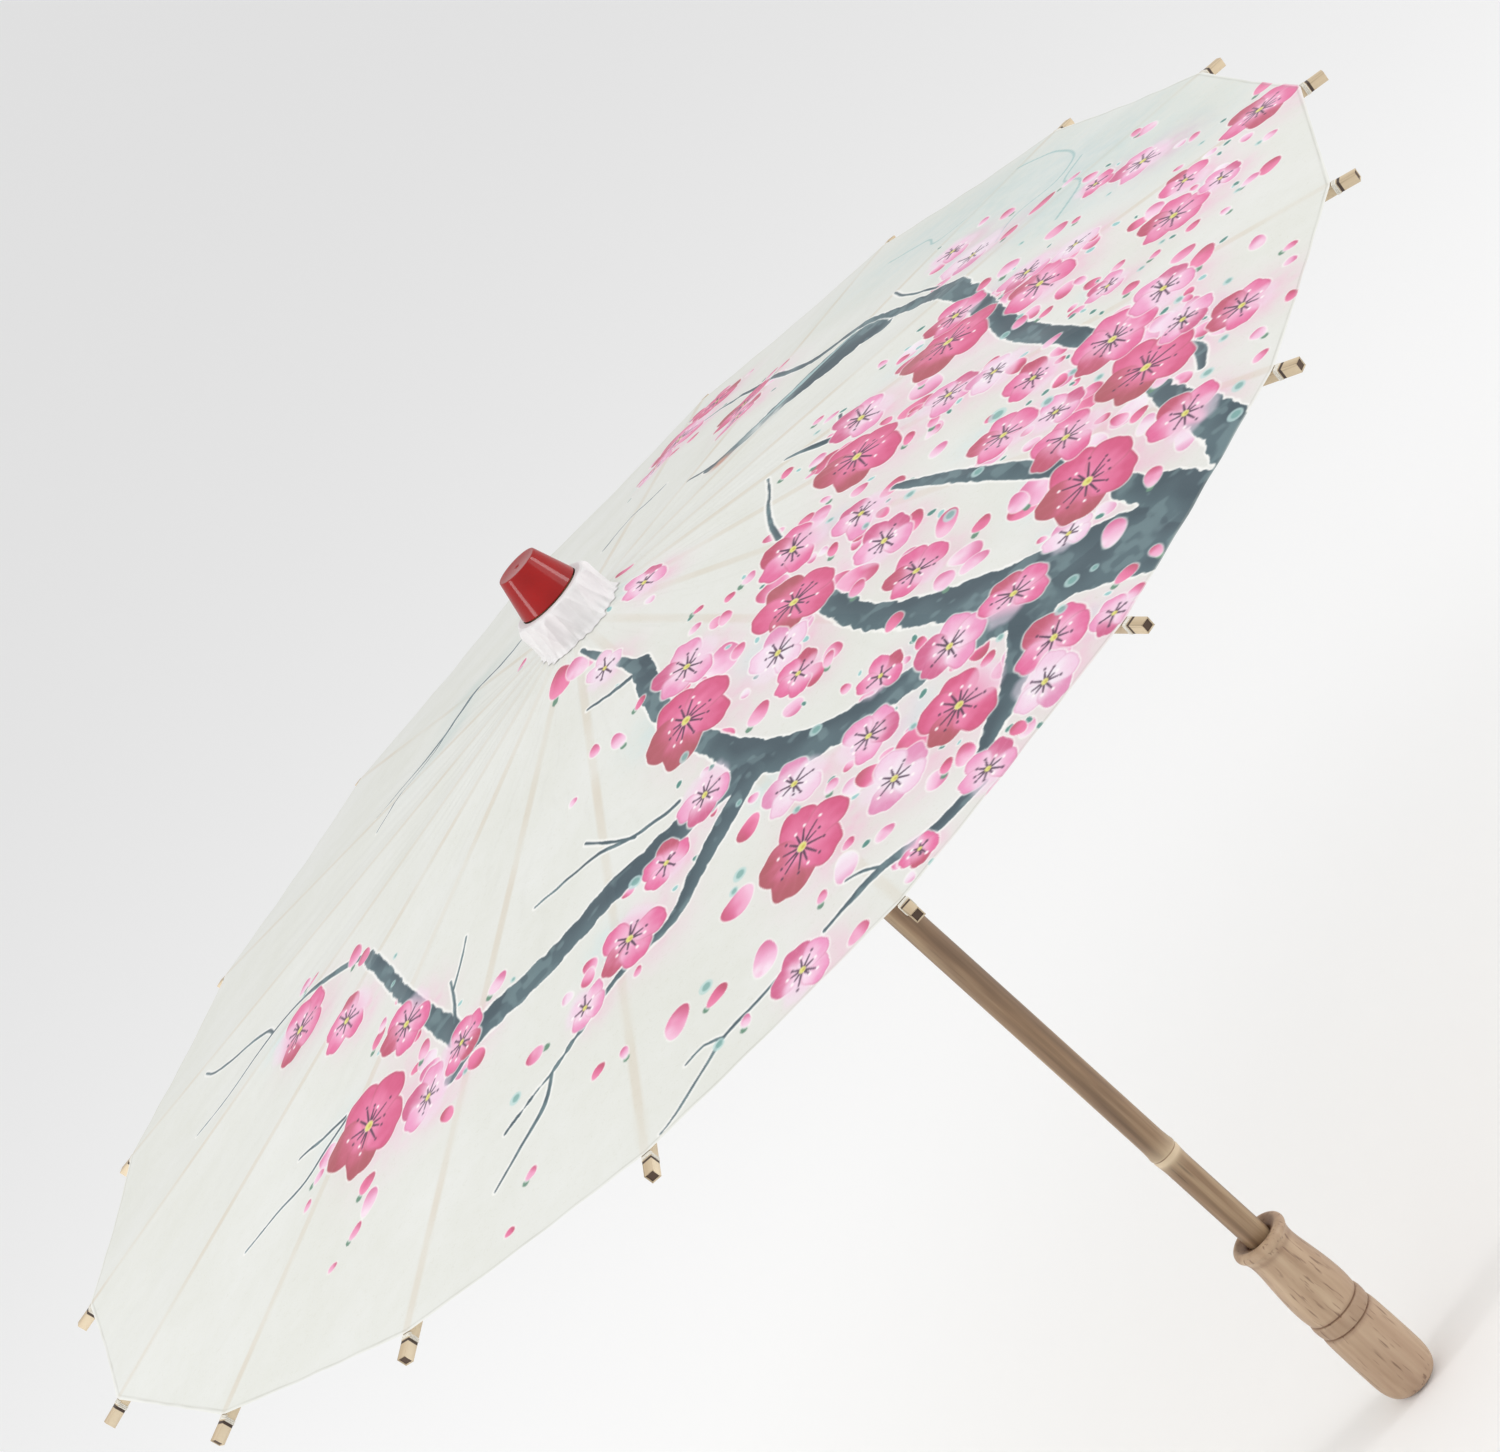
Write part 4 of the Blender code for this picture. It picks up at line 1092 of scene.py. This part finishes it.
def refined_sheet(place_points, steps, plan, tables):
    """A grid over the unit square, finer where the print has detail, moved to its place."""
    work = bmesh.new()
    bmesh.ops.create_grid(work, x_segments=steps[0], y_segments=steps[1], size=0.5)
    for level, table in enumerate(tables):
        flat = np.array([face.calc_center_median() for face in work.faces])
        change = look_up(plan, table, place_points(flat[:, 0] + 0.5, flat[:, 1] + 0.5))
        busy = change > (MIDDLE, COARSE)[level]
        work.faces.ensure_lookup_table()
        edges = {edge for face, is_busy in zip(work.faces, busy) if is_busy for edge in face.edges}
        if edges:
            bmesh.ops.subdivide_edges(work, edges=list(edges), cuts=1, use_grid_fill=True)
    flat = np.array([vert.co for vert in work.verts])
    placed = place_points(flat[:, 0] + 0.5, flat[:, 1] + 0.5)
    for vert, place in zip(work.verts, placed):
        vert.co = place
    bmesh.ops.recalc_face_normals(work, faces=work.faces)
    if sum(face.normal.z for face in work.faces) < 0:
        bmesh.ops.reverse_faces(work, faces=work.faces)
    return work


def panel_of(index, side):
    """The CAD panel a half bay is part of: each panel reaches one bay to both sides of an even rib."""
    centre = index if index % 2 == 0 else index + side
    return f"canopy_panel_{centre % RIB_COUNT // 2 + 1}"


def make_paper(plan):
    """Two half bays and one strip on every rib, all painted from the same plan."""
    tables = detail_levels(plan)
    for index in range(RIB_COUNT):
        name, body = f"{index + 1:02d}", f"rib_{index + 1:02d}_body"
        work = refined_sheet(
            lambda a, b: strip_points(index, a, 2 * b - 1), STRIP_STEPS, plan, tables
        )
        strip = new_piece(work, f"paper_{name}_ridge", PAPER, body)
        paint(strip.data, plan)
        strip.data.shade_smooth()
        for side, word in ((1, "left"), (-1, "right")):
            work = refined_sheet(
                lambda a, b: half_bay_points(index, side, a, b), BAY_STEPS, plan, tables
            )
            half = new_piece(work, f"paper_{name}_{word}", PAPER, body)
            paint(half.data, plan)
            half.data.shade_smooth()
            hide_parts(panel_of(index, side))
            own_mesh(half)


def lathe(profile, steps, centre=(0, 0)):
    """A mesh turned round the shaft's axis from (radius, height) points in millimetres."""
    work = bmesh.new()
    verts = [work.verts.new((centre[0] + r * MM, centre[1], z * MM)) for r, z in profile]
    edges = [work.edges.new(pair) for pair in zip(verts, verts[1:])]
    bmesh.ops.spin(
        work, geom=verts + edges, cent=(*centre, 0), axis=(0, 0, 1), angle=2 * math.pi,
        steps=steps, use_merge=True, use_duplicate=False,
    )
    bmesh.ops.remove_doubles(work, verts=work.verts, dist=1e-6)
    bmesh.ops.recalc_face_normals(work, faces=work.faces)
    return work


def curved(points, step=0.5):
    """(radius, height) points on a smooth line through a few given ones."""
    return [(x, y) for x, y, _ in smooth_path(points, [0] * len(points), step)]


def rounding(x, y, radius, start, end, steps=6):
    turns = [math.radians(start + (end - start) * step / steps) for step in range(steps + 1)]
    return [(x + radius * math.cos(turn), y + radius * math.sin(turn)) for turn in turns]


def make_cap():
    """The red cup on the crown: a plain cone with rolled rims and a small dimple on top."""
    low, high = CAP_LOW.z / MM, CAP_HIGH.z / MM
    base, top = CAP_HIGH.x / MM, CAP_TOP_RADIUS / MM
    profile = [
        (5.2, low + 2.5),
        (5.2, low),
        (base - 0.7, low),
        *rounding(base - 0.45, low + 0.45, 0.45, -90, 15),
        *rounding(top - 0.35, high - 0.35, 0.35, 15, 90),
        (top - 0.9, high - 0.02),
        (top - 2.0, high - 0.22),
        (1.6, high - 0.30),
        (0.6, high - 0.34),
        (0.35, high - 0.62),
        (0.0, high - 0.70),
    ]
    cap = new_piece(lathe(profile, 128), "lacquered_cap", RED_LACQUER, "frame")
    smooth(cap, 50)
    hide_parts("cap")


def make_crown_wrap():
    """Soft paper bound round the crown: gathered under the cap, creased, ragged over the canopy."""
    high = WRAP_HIGH.z
    steps = (420, 90)
    work = bmesh.new()
    bmesh.ops.create_grid(work, x_segments=steps[0], y_segments=steps[1], size=0.5)
    flat = np.array([vert.co for vert in work.verts])
    turn = (flat[:, 0] + 0.5) * 2 * math.pi
    down = flat[:, 1] + 0.5
    # profile: in from under the cap, over a round shoulder, down and out to the ragged edge
    stops = np.array([0.0, 0.16, 0.26, 0.36, 0.62, 0.88, 1.0])
    radii = np.array([11.8, 14.0, 15.0, 15.4, 15.8, 16.4, 17.6]) * MM
    highs = np.array([0.0, 0.0, -0.4, -1.5, -6.4, -11.8, -14.5]) * MM + high
    radius = np.interp(down, stops, radii)
    height = np.interp(down, stops, highs)
    fold = np.clip((down - 0.1) / 0.25, 0, 1)
    folds = np.zeros_like(turn)
    for count, skew, phase, depth in (
        (4, 0.9, 0.4, 0.50), (6, -1.1, 2.0, 0.45), (9, 0.6, 4.1, 0.28), (15, -0.8, 1.2, 0.08),
    ):
        wave = np.sin(count * turn + skew * down * 2.2 + phase + 0.8 * np.sin(2 * turn + phase))
        folds += depth * (1 - 2 * np.abs(wave) ** 0.85)
    radius = radius + fold * folds * 0.85 * MM
    edge = np.clip((down - 0.72) / 0.28, 0, 1)
    ragged = np.sin(9 * turn + 1.1) * np.sin(14 * turn + 0.3) + 0.5 * np.sin(31 * turn)
    radius = radius + edge * ragged * 0.6 * MM
    paper_height = HUB_PIVOT_Z - (radius - PIVOT_RADIUS) * SIN / COS + PAPER_HEIGHT / COS
    floor_height = paper_height + 0.2 * MM
    height = np.maximum(height + edge * 0.35 * MM * np.sin(11 * turn), floor_height)
    places = np.stack([radius * np.cos(turn), radius * np.sin(turn), height], 1)
    for vert, place in zip(work.verts, places):
        vert.co = place
    bmesh.ops.remove_doubles(work, verts=work.verts, dist=1e-6)
    bmesh.ops.recalc_face_normals(work, faces=work.faces)
    wrap = new_piece(work, "crown_wrap_paper", WRAP_PAPER, "frame")
    outward = sum(face.normal.x * face.center.x + face.normal.y * face.center.y
                  for face in wrap.data.polygons)
    if outward < 0:
        wrap.data.flip_normals()
    wrap.data.shade_smooth()
    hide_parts("crown_wrap")


def cut(piece, cutter):
    """Takes the cutter out of the piece, and removes the cutter."""
    modifier = piece.modifiers.new("cut", "BOOLEAN")
    modifier.object = cutter
    modifier.solver = "EXACT"
    depsgraph = bpy.context.evaluated_depsgraph_get()
    mesh = bpy.data.meshes.new_from_object(piece.evaluated_get(depsgraph))
    piece.modifiers.clear()
    piece.data = mesh
    bpy.data.objects.remove(cutter, do_unlink=True)


def make_shaft():
    """A slim bamboo cane with one node near the handle, and the slot its catch springs from."""
    low, high, node = SHAFT_LOW.z / MM, SHAFT_HIGH.z / MM, SHAFT_NODE / MM
    above, below = CANE_ABOVE, CANE_BELOW
    upper_start, lower_start = node + 9, node - 5
    profile = [(0.0, high), *rounding(above - 0.3, high - 0.3, 0.3, 90, 0, 3)]
    profile += [(above, high - step * (high - upper_start) / 60) for step in range(1, 61)]
    profile += curved(
        [(above, node + 8), (4.95, node + 5), (5.12, node + 2.6), (5.3, node + 1.2), (5.22, node + 0.5)],
        0.4,
    )
    profile += [(5.02, node + 0.1)]
    profile += curved(
        [(5.02, node - 0.2), (5.2, node - 0.8), (5.1, node - 2.2), (4.85, lower_start)], 0.4
    )
    profile += [(below, lower_start - step * (lower_start - low) / 30) for step in range(1, 31)]
    profile += [(0.0, low)]
    work = lathe(profile, 72)
    for vert in work.verts:
        turn = math.atan2(vert.co.y, vert.co.x)
        wave = 0.012 * math.sin(2 * turn + 14 * vert.co.z) + 0.006 * math.sin(5 * turn + 40 * vert.co.z)
        vert.co.x *= 1 + wave
        vert.co.y *= 1 + wave
    shaft = new_piece(work, "bamboo_cane", SHAFT_BAMBOO, "frame")
    wear_and_shade = shaft.data.attributes.new("wear_and_shade", "FLOAT", "POINT")
    for vert, spot in zip(shaft.data.vertices, wear_and_shade.data):
        over = vert.co.z / MM - node
        spot.value = 0.75 * math.exp(-(((over + 1.2) / 1.6) ** 2)) + 0.45 * math.exp(-((over / 5) ** 2))
        if abs(over - 0.2) < 0.25:
            spot.value = -0.4
    catch_low, catch_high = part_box("latch_catch")
    slot = bmesh.new()
    bmesh.ops.create_cube(slot, size=1.0)
    reach, room, tip_room = 12 * MM, 0.3 * MM, 3.0 * MM
    width, height = catch_high.y - catch_low.y + 2 * room, catch_high.z - catch_low.z + 2 * room + tip_room
    size = Vector((reach, width, height))
    centre = Vector((catch_low.x - room + reach / 2, 0, (catch_high.z + catch_low.z + tip_room) / 2))
    for vert in slot.verts:
        vert.co = Vector(a * b for a, b in zip(vert.co, size)) + centre
    cutter = bpy.data.objects.new("slot_cutter", mesh_of(slot, "slot_cutter"))
    bpy.context.scene.collection.objects.link(cutter)
    cut(shaft, cutter)
    smooth(shaft, 30)
    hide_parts("shaft")


def make_handle():
    """The turned handle: a dished mouth, a bead, a long belly, a banded waist and a round foot."""
    top = HANDLE_HIGH.z / MM
    mouth = [(5.1, top - 9), (5.1, top - 2.4), (5.4, top - 1.9), (6.5, top - 1.2), (8.0, top - 0.45)]
    bead = [(8.5, top - 0.1), *rounding(8.75, top - 2.35, 2.35, 84, -48, 16)]
    belly = curved(
        [(10.15, top - 4.55), (9.62, top - 6.3), (9.38, top - 8.6), (9.5, top - 12.5), (10.1, top - 18),
         (10.75, top - 24.5), (11.08, top - 30), (11.12, top - 33.5), (10.95, top - 36.5),
         (10.72, top - 38.4)],
        0.6,
    )
    first_groove = [(10.6, top - 38.75), (10.18, top - 39.0), (10.16, top - 39.3), (10.75, top - 39.55)]
    ring = curved(
        [(10.95, top - 39.9), (11.15, top - 41.2), (11.12, top - 43.2), (10.9, top - 44.9)], 0.35
    )
    second_groove = [(10.75, top - 45.3), (10.2, top - 45.6), (10.18, top - 45.9), (10.8, top - 46.2)]
    foot = curved(
        [(11.0, top - 46.6), (11.25, top - 49), (11.4, top - 55), (11.5, top - 63), (11.5, top - 70.8)],
        0.8,
    )
    end = curved(
        [(11.46, top - 72.8), (11.1, top - 76.3), (10.1, top - 79.4), (8.6, top - 81.3), (6.6, top - 82.1),
         (4.0, top - 82.3), (0.0, top - 82.3)],
        0.5,
    )
    profile = mouth + bead + belly + first_groove + ring + second_groove + foot + end
    work = lathe(profile, 144)
    handle = new_piece(work, "turned_handle", TURNED_WOOD, "frame")
    wear_and_shade = handle.data.attributes.new("wear_and_shade", "FLOAT", "POINT")
    for vert, spot in zip(handle.data.vertices, wear_and_shade.data):
        radius = math.hypot(vert.co.x, vert.co.y) / MM
        below = top - vert.co.z / MM
        # darker in the two grooves, beside them and on the ring between them; painted shade in the mouth's
        # bore, the dish round it and the cove under the bead
        grooves = max(math.exp(-(((below - depth) / 0.22) ** 2)) for depth in (39.15, 45.75))
        near = max(math.exp(-(((below - depth) / 0.9) ** 2)) for depth in (38.8, 46.2))
        in_mouth = 0.75 if radius < 5.6 and below < 12 else 0.0
        dish = 0.55 * math.exp(-(((radius - 6.9) / 1.5) ** 2)) * (below < 3)
        cove = 0.30 * math.exp(-(((below - 6.6) / 1.2) ** 2))
        ring_stain = 0.22 if 39.6 < below < 45 else 0.0
        spot.value = min(1.0, max(grooves, 0.28 * near, in_mouth, dish, cove, ring_stain))
    smooth(handle, 50)
    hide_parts("handle")


def softened(node, bevel):
    """A copy of a node's mesh with merged faces and eased edges, as a bmesh in the row frame."""
    work = bmesh.new()
    work.from_mesh(frame["nodes"][node].data)
    bmesh.ops.remove_doubles(work, verts=work.verts, dist=1e-6)
    bmesh.ops.dissolve_limit(
        work, angle_limit=math.radians(1), verts=work.verts, edges=work.edges, delimit={"NORMAL"}
    )
    sharp = [edge for edge in work.edges
             if len(edge.link_faces) == 2 and edge.calc_face_angle(0) > math.radians(40)]
    bmesh.ops.bevel(work, geom=sharp, offset=bevel, segments=2, profile=0.6, affect="EDGES",
                    clamp_overlap=True)
    bmesh.ops.recalc_face_normals(work, faces=work.faces)
    return work


def turned_copy(mesh, turn, name, body):
    """The same mesh again, turned round the shaft."""
    copy = mesh.copy()
    copy.transform(Matrix.Rotation(turn, 4, "Z"))
    return show(copy, name, body)


def add_grain(mesh, slope, pivot):
    """Coordinates that run slowly along a straight bamboo piece, so its fibres follow it."""
    turn = np.array(Matrix.Rotation(-slope, 3, "Y"))     # from the row frame to the piece's own
    places = np.empty(3 * len(mesh.vertices))
    mesh.vertices.foreach_get("co", places)
    own = (places.reshape(-1, 3) - np.array(pivot)) @ turn.T * np.array((GRAIN_SCALE, 1.0, 1.0))
    mesh.attributes.new("grain", "FLOAT_VECTOR", "POINT").data.foreach_set("vector", own.ravel())


def stick_mesh(name, work, slope, pivot, *finishes):
    mesh = mesh_of(work, name, *finishes)
    add_grain(mesh, slope, pivot)
    mesh.shade_smooth()
    mesh.set_sharp_from_angle(angle=math.radians(40))
    return mesh


def rib_mesh():
    """One rib, with its tip face framed by pale bamboo round a dark, open pith."""
    work = softened("rib_01", 0.22 * MM)
    axis = Vector(rib_axes(0)[1][0])
    pivot = Vector(rib_axes(0)[0])
    tips = [face for face in work.faces if face.normal.dot(axis) > 0.95
            and (face.calc_center_median() - pivot).dot(axis) > RIB_LENGTH - 1 * MM]
    for face in work.faces:
        face.material_index = 0
    bmesh.ops.inset_region(work, faces=tips, thickness=0.42 * MM, depth=-0.3 * MM)
    for face in tips:
        face.material_index = 1
    return stick_mesh("rib", work, OPEN_SLOPE, pivot, RIB_BAMBOO, END_GRAIN)


def stretcher_mesh():
    work = softened("stretcher_01", 0.18 * MM)
    for face in work.faces:
        face.material_index = 0
    return stick_mesh("stretcher", work, -OPEN_SLOPE, joints["stretcher_01_turn"]["pos_m"], RIB_BAMBOO)


def knot_mesh():
    """The thread through a mid joint, with a knot on each side of the rib."""
    middle = Vector(joints["stretcher_01_turn"]["pos_m"])
    work = bmesh.new()
    bmesh.ops.create_cone(
        work, segments=10, cap_ends=True, radius1=0.5 * MM, radius2=0.5 * MM, depth=4.2 * MM,
        matrix=Matrix.Translation(middle) @ Matrix.Rotation(math.pi / 2, 4, "X"),
    )
    for side in (-1, 1):
        bmesh.ops.create_uvsphere(
            work, u_segments=12, v_segments=8, radius=0.65 * MM,
            matrix=Matrix.Translation(middle + Vector((0, 2.0 * side * MM, 0)))
            @ Matrix.Diagonal((1, 0.7, 1, 1)),
        )
    mesh = mesh_of(work, "knot", THREAD)
    mesh.shade_smooth()
    return mesh


def tie_mesh():
    """Three turns of thread round a rib, just outside the corner of the paper."""
    rounds = 3
    pivot, axes = rib_axes(0)
    wire = 0.24 * MM
    half, low, high = RIB_HALF_WIDTH + 0.1 * MM, RIB_UNDERSIDE - 0.1 * MM, RIB_TOP + 0.1 * MM
    bend = 0.5 * MM
    corners = ((half - bend, high - bend, 0), (bend - half, high - bend, 90),
               (bend - half, low + bend, 180), (half - bend, low + bend, 270))
    loop = []
    for across, up, start in corners:
        for step in range(5):
            turn = math.radians(start + 22.5 * step)
            loop.append((across + bend * math.cos(turn), up + bend * math.sin(turn), turn))
    work = bmesh.new()
    rows = []
    for step in range(rounds * len(loop) + 1):
        across, up, turn = loop[step % len(loop)]
        along = PAPER_END + 0.35 * MM + 2 * wire * step / len(loop)
        row = []
        for corner in range(8):
            lean = 2 * math.pi * corner / 8
            out = wire * math.cos(lean)
            place = (
                pivot + (along + wire * math.sin(lean)) * axes[0]
                + (across + out * math.cos(turn)) * axes[1] + (up + out * math.sin(turn)) * axes[2]
            )
            row.append(work.verts.new(place))
        rows.append(row)
    for first, second in zip(rows, rows[1:]):
        for a, b, c, d in zip(first, first[1:] + first[:1], second[1:] + second[:1], second):
            work.faces.new((a, b, c, d))
    work.faces.new(rows[0])
    work.faces.new(reversed(rows[-1]))
    bmesh.ops.recalc_face_normals(work, faces=work.faces)
    mesh = mesh_of(work, "tie", THREAD)
    mesh.shade_smooth()
    return mesh


def make_frame():
    rib, stretcher, knot, tie = rib_mesh(), stretcher_mesh(), knot_mesh(), tie_mesh()
    for index in range(RIB_COUNT):
        turn, name = index * PITCH, f"{index + 1:02d}"
        made = turned_copy(rib, turn, f"bamboo_rib_{name}", f"rib_{name}_body")
        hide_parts(f"rib_{name}")
        made = turned_copy(
            stretcher, turn, f"bamboo_stretcher_{name}", f"stretcher_{name}_body"
        )
        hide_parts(f"stretcher_{name}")
        turned_copy(knot, turn, f"mid_knot_{name}", f"rib_{name}_body")
        turned_copy(tie, turn, f"rim_tie_{name}", f"rib_{name}_body")


def thread_ring(name, node, body, height):
    """The thread that all the ribs, or all the stretchers, hang from."""
    low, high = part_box(node)
    wire = (high.z - low.z) / 2 / MM
    radius = high.x / MM - wire
    turns = [2 * math.pi * step / 10 for step in range(11)]
    circle = [(radius + wire * math.cos(a), height / MM + wire * math.sin(a)) for a in turns]
    made = new_piece(lathe(circle, 108), name, THREAD, body)
    made.data.shade_smooth()
    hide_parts(node)


def make_hubs():
    """The crown, the runner and the catch, and the two rings of thread."""
    for node, name, body, bevel, finish, slot in (
        ("top_hub", "slotted_crown", "frame", 0.25, HUB_WOOD, "hub_wood"),
        ("runner", "slotted_runner", "runner_body", 0.25, HUB_WOOD, "hub_wood"),
        ("latch_catch", "bamboo_catch", "catch_body", 0.2, RIB_BAMBOO, "rib_bamboo"),
    ):
        made = new_piece(softened(node, bevel * MM), name, finish, body)
        if finish is RIB_BAMBOO:
            add_grain(made.data, math.pi / 2, (0, 0, 0))
        smooth(made, 40)
        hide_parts(node)
    thread_ring("crown_thread", "hub_thread", "frame", HUB_PIVOT_Z)
    low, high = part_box("runner_thread")
    thread_ring("slider_thread", "runner_thread", "runner_body", (low.z + high.z) / 2)


plan = draw_print(0.3)
make_paper(plan)
make_frame()
make_hubs()
make_shaft()
make_handle()
make_crown_wrap()
make_cap()
set_camera()
set_studio()
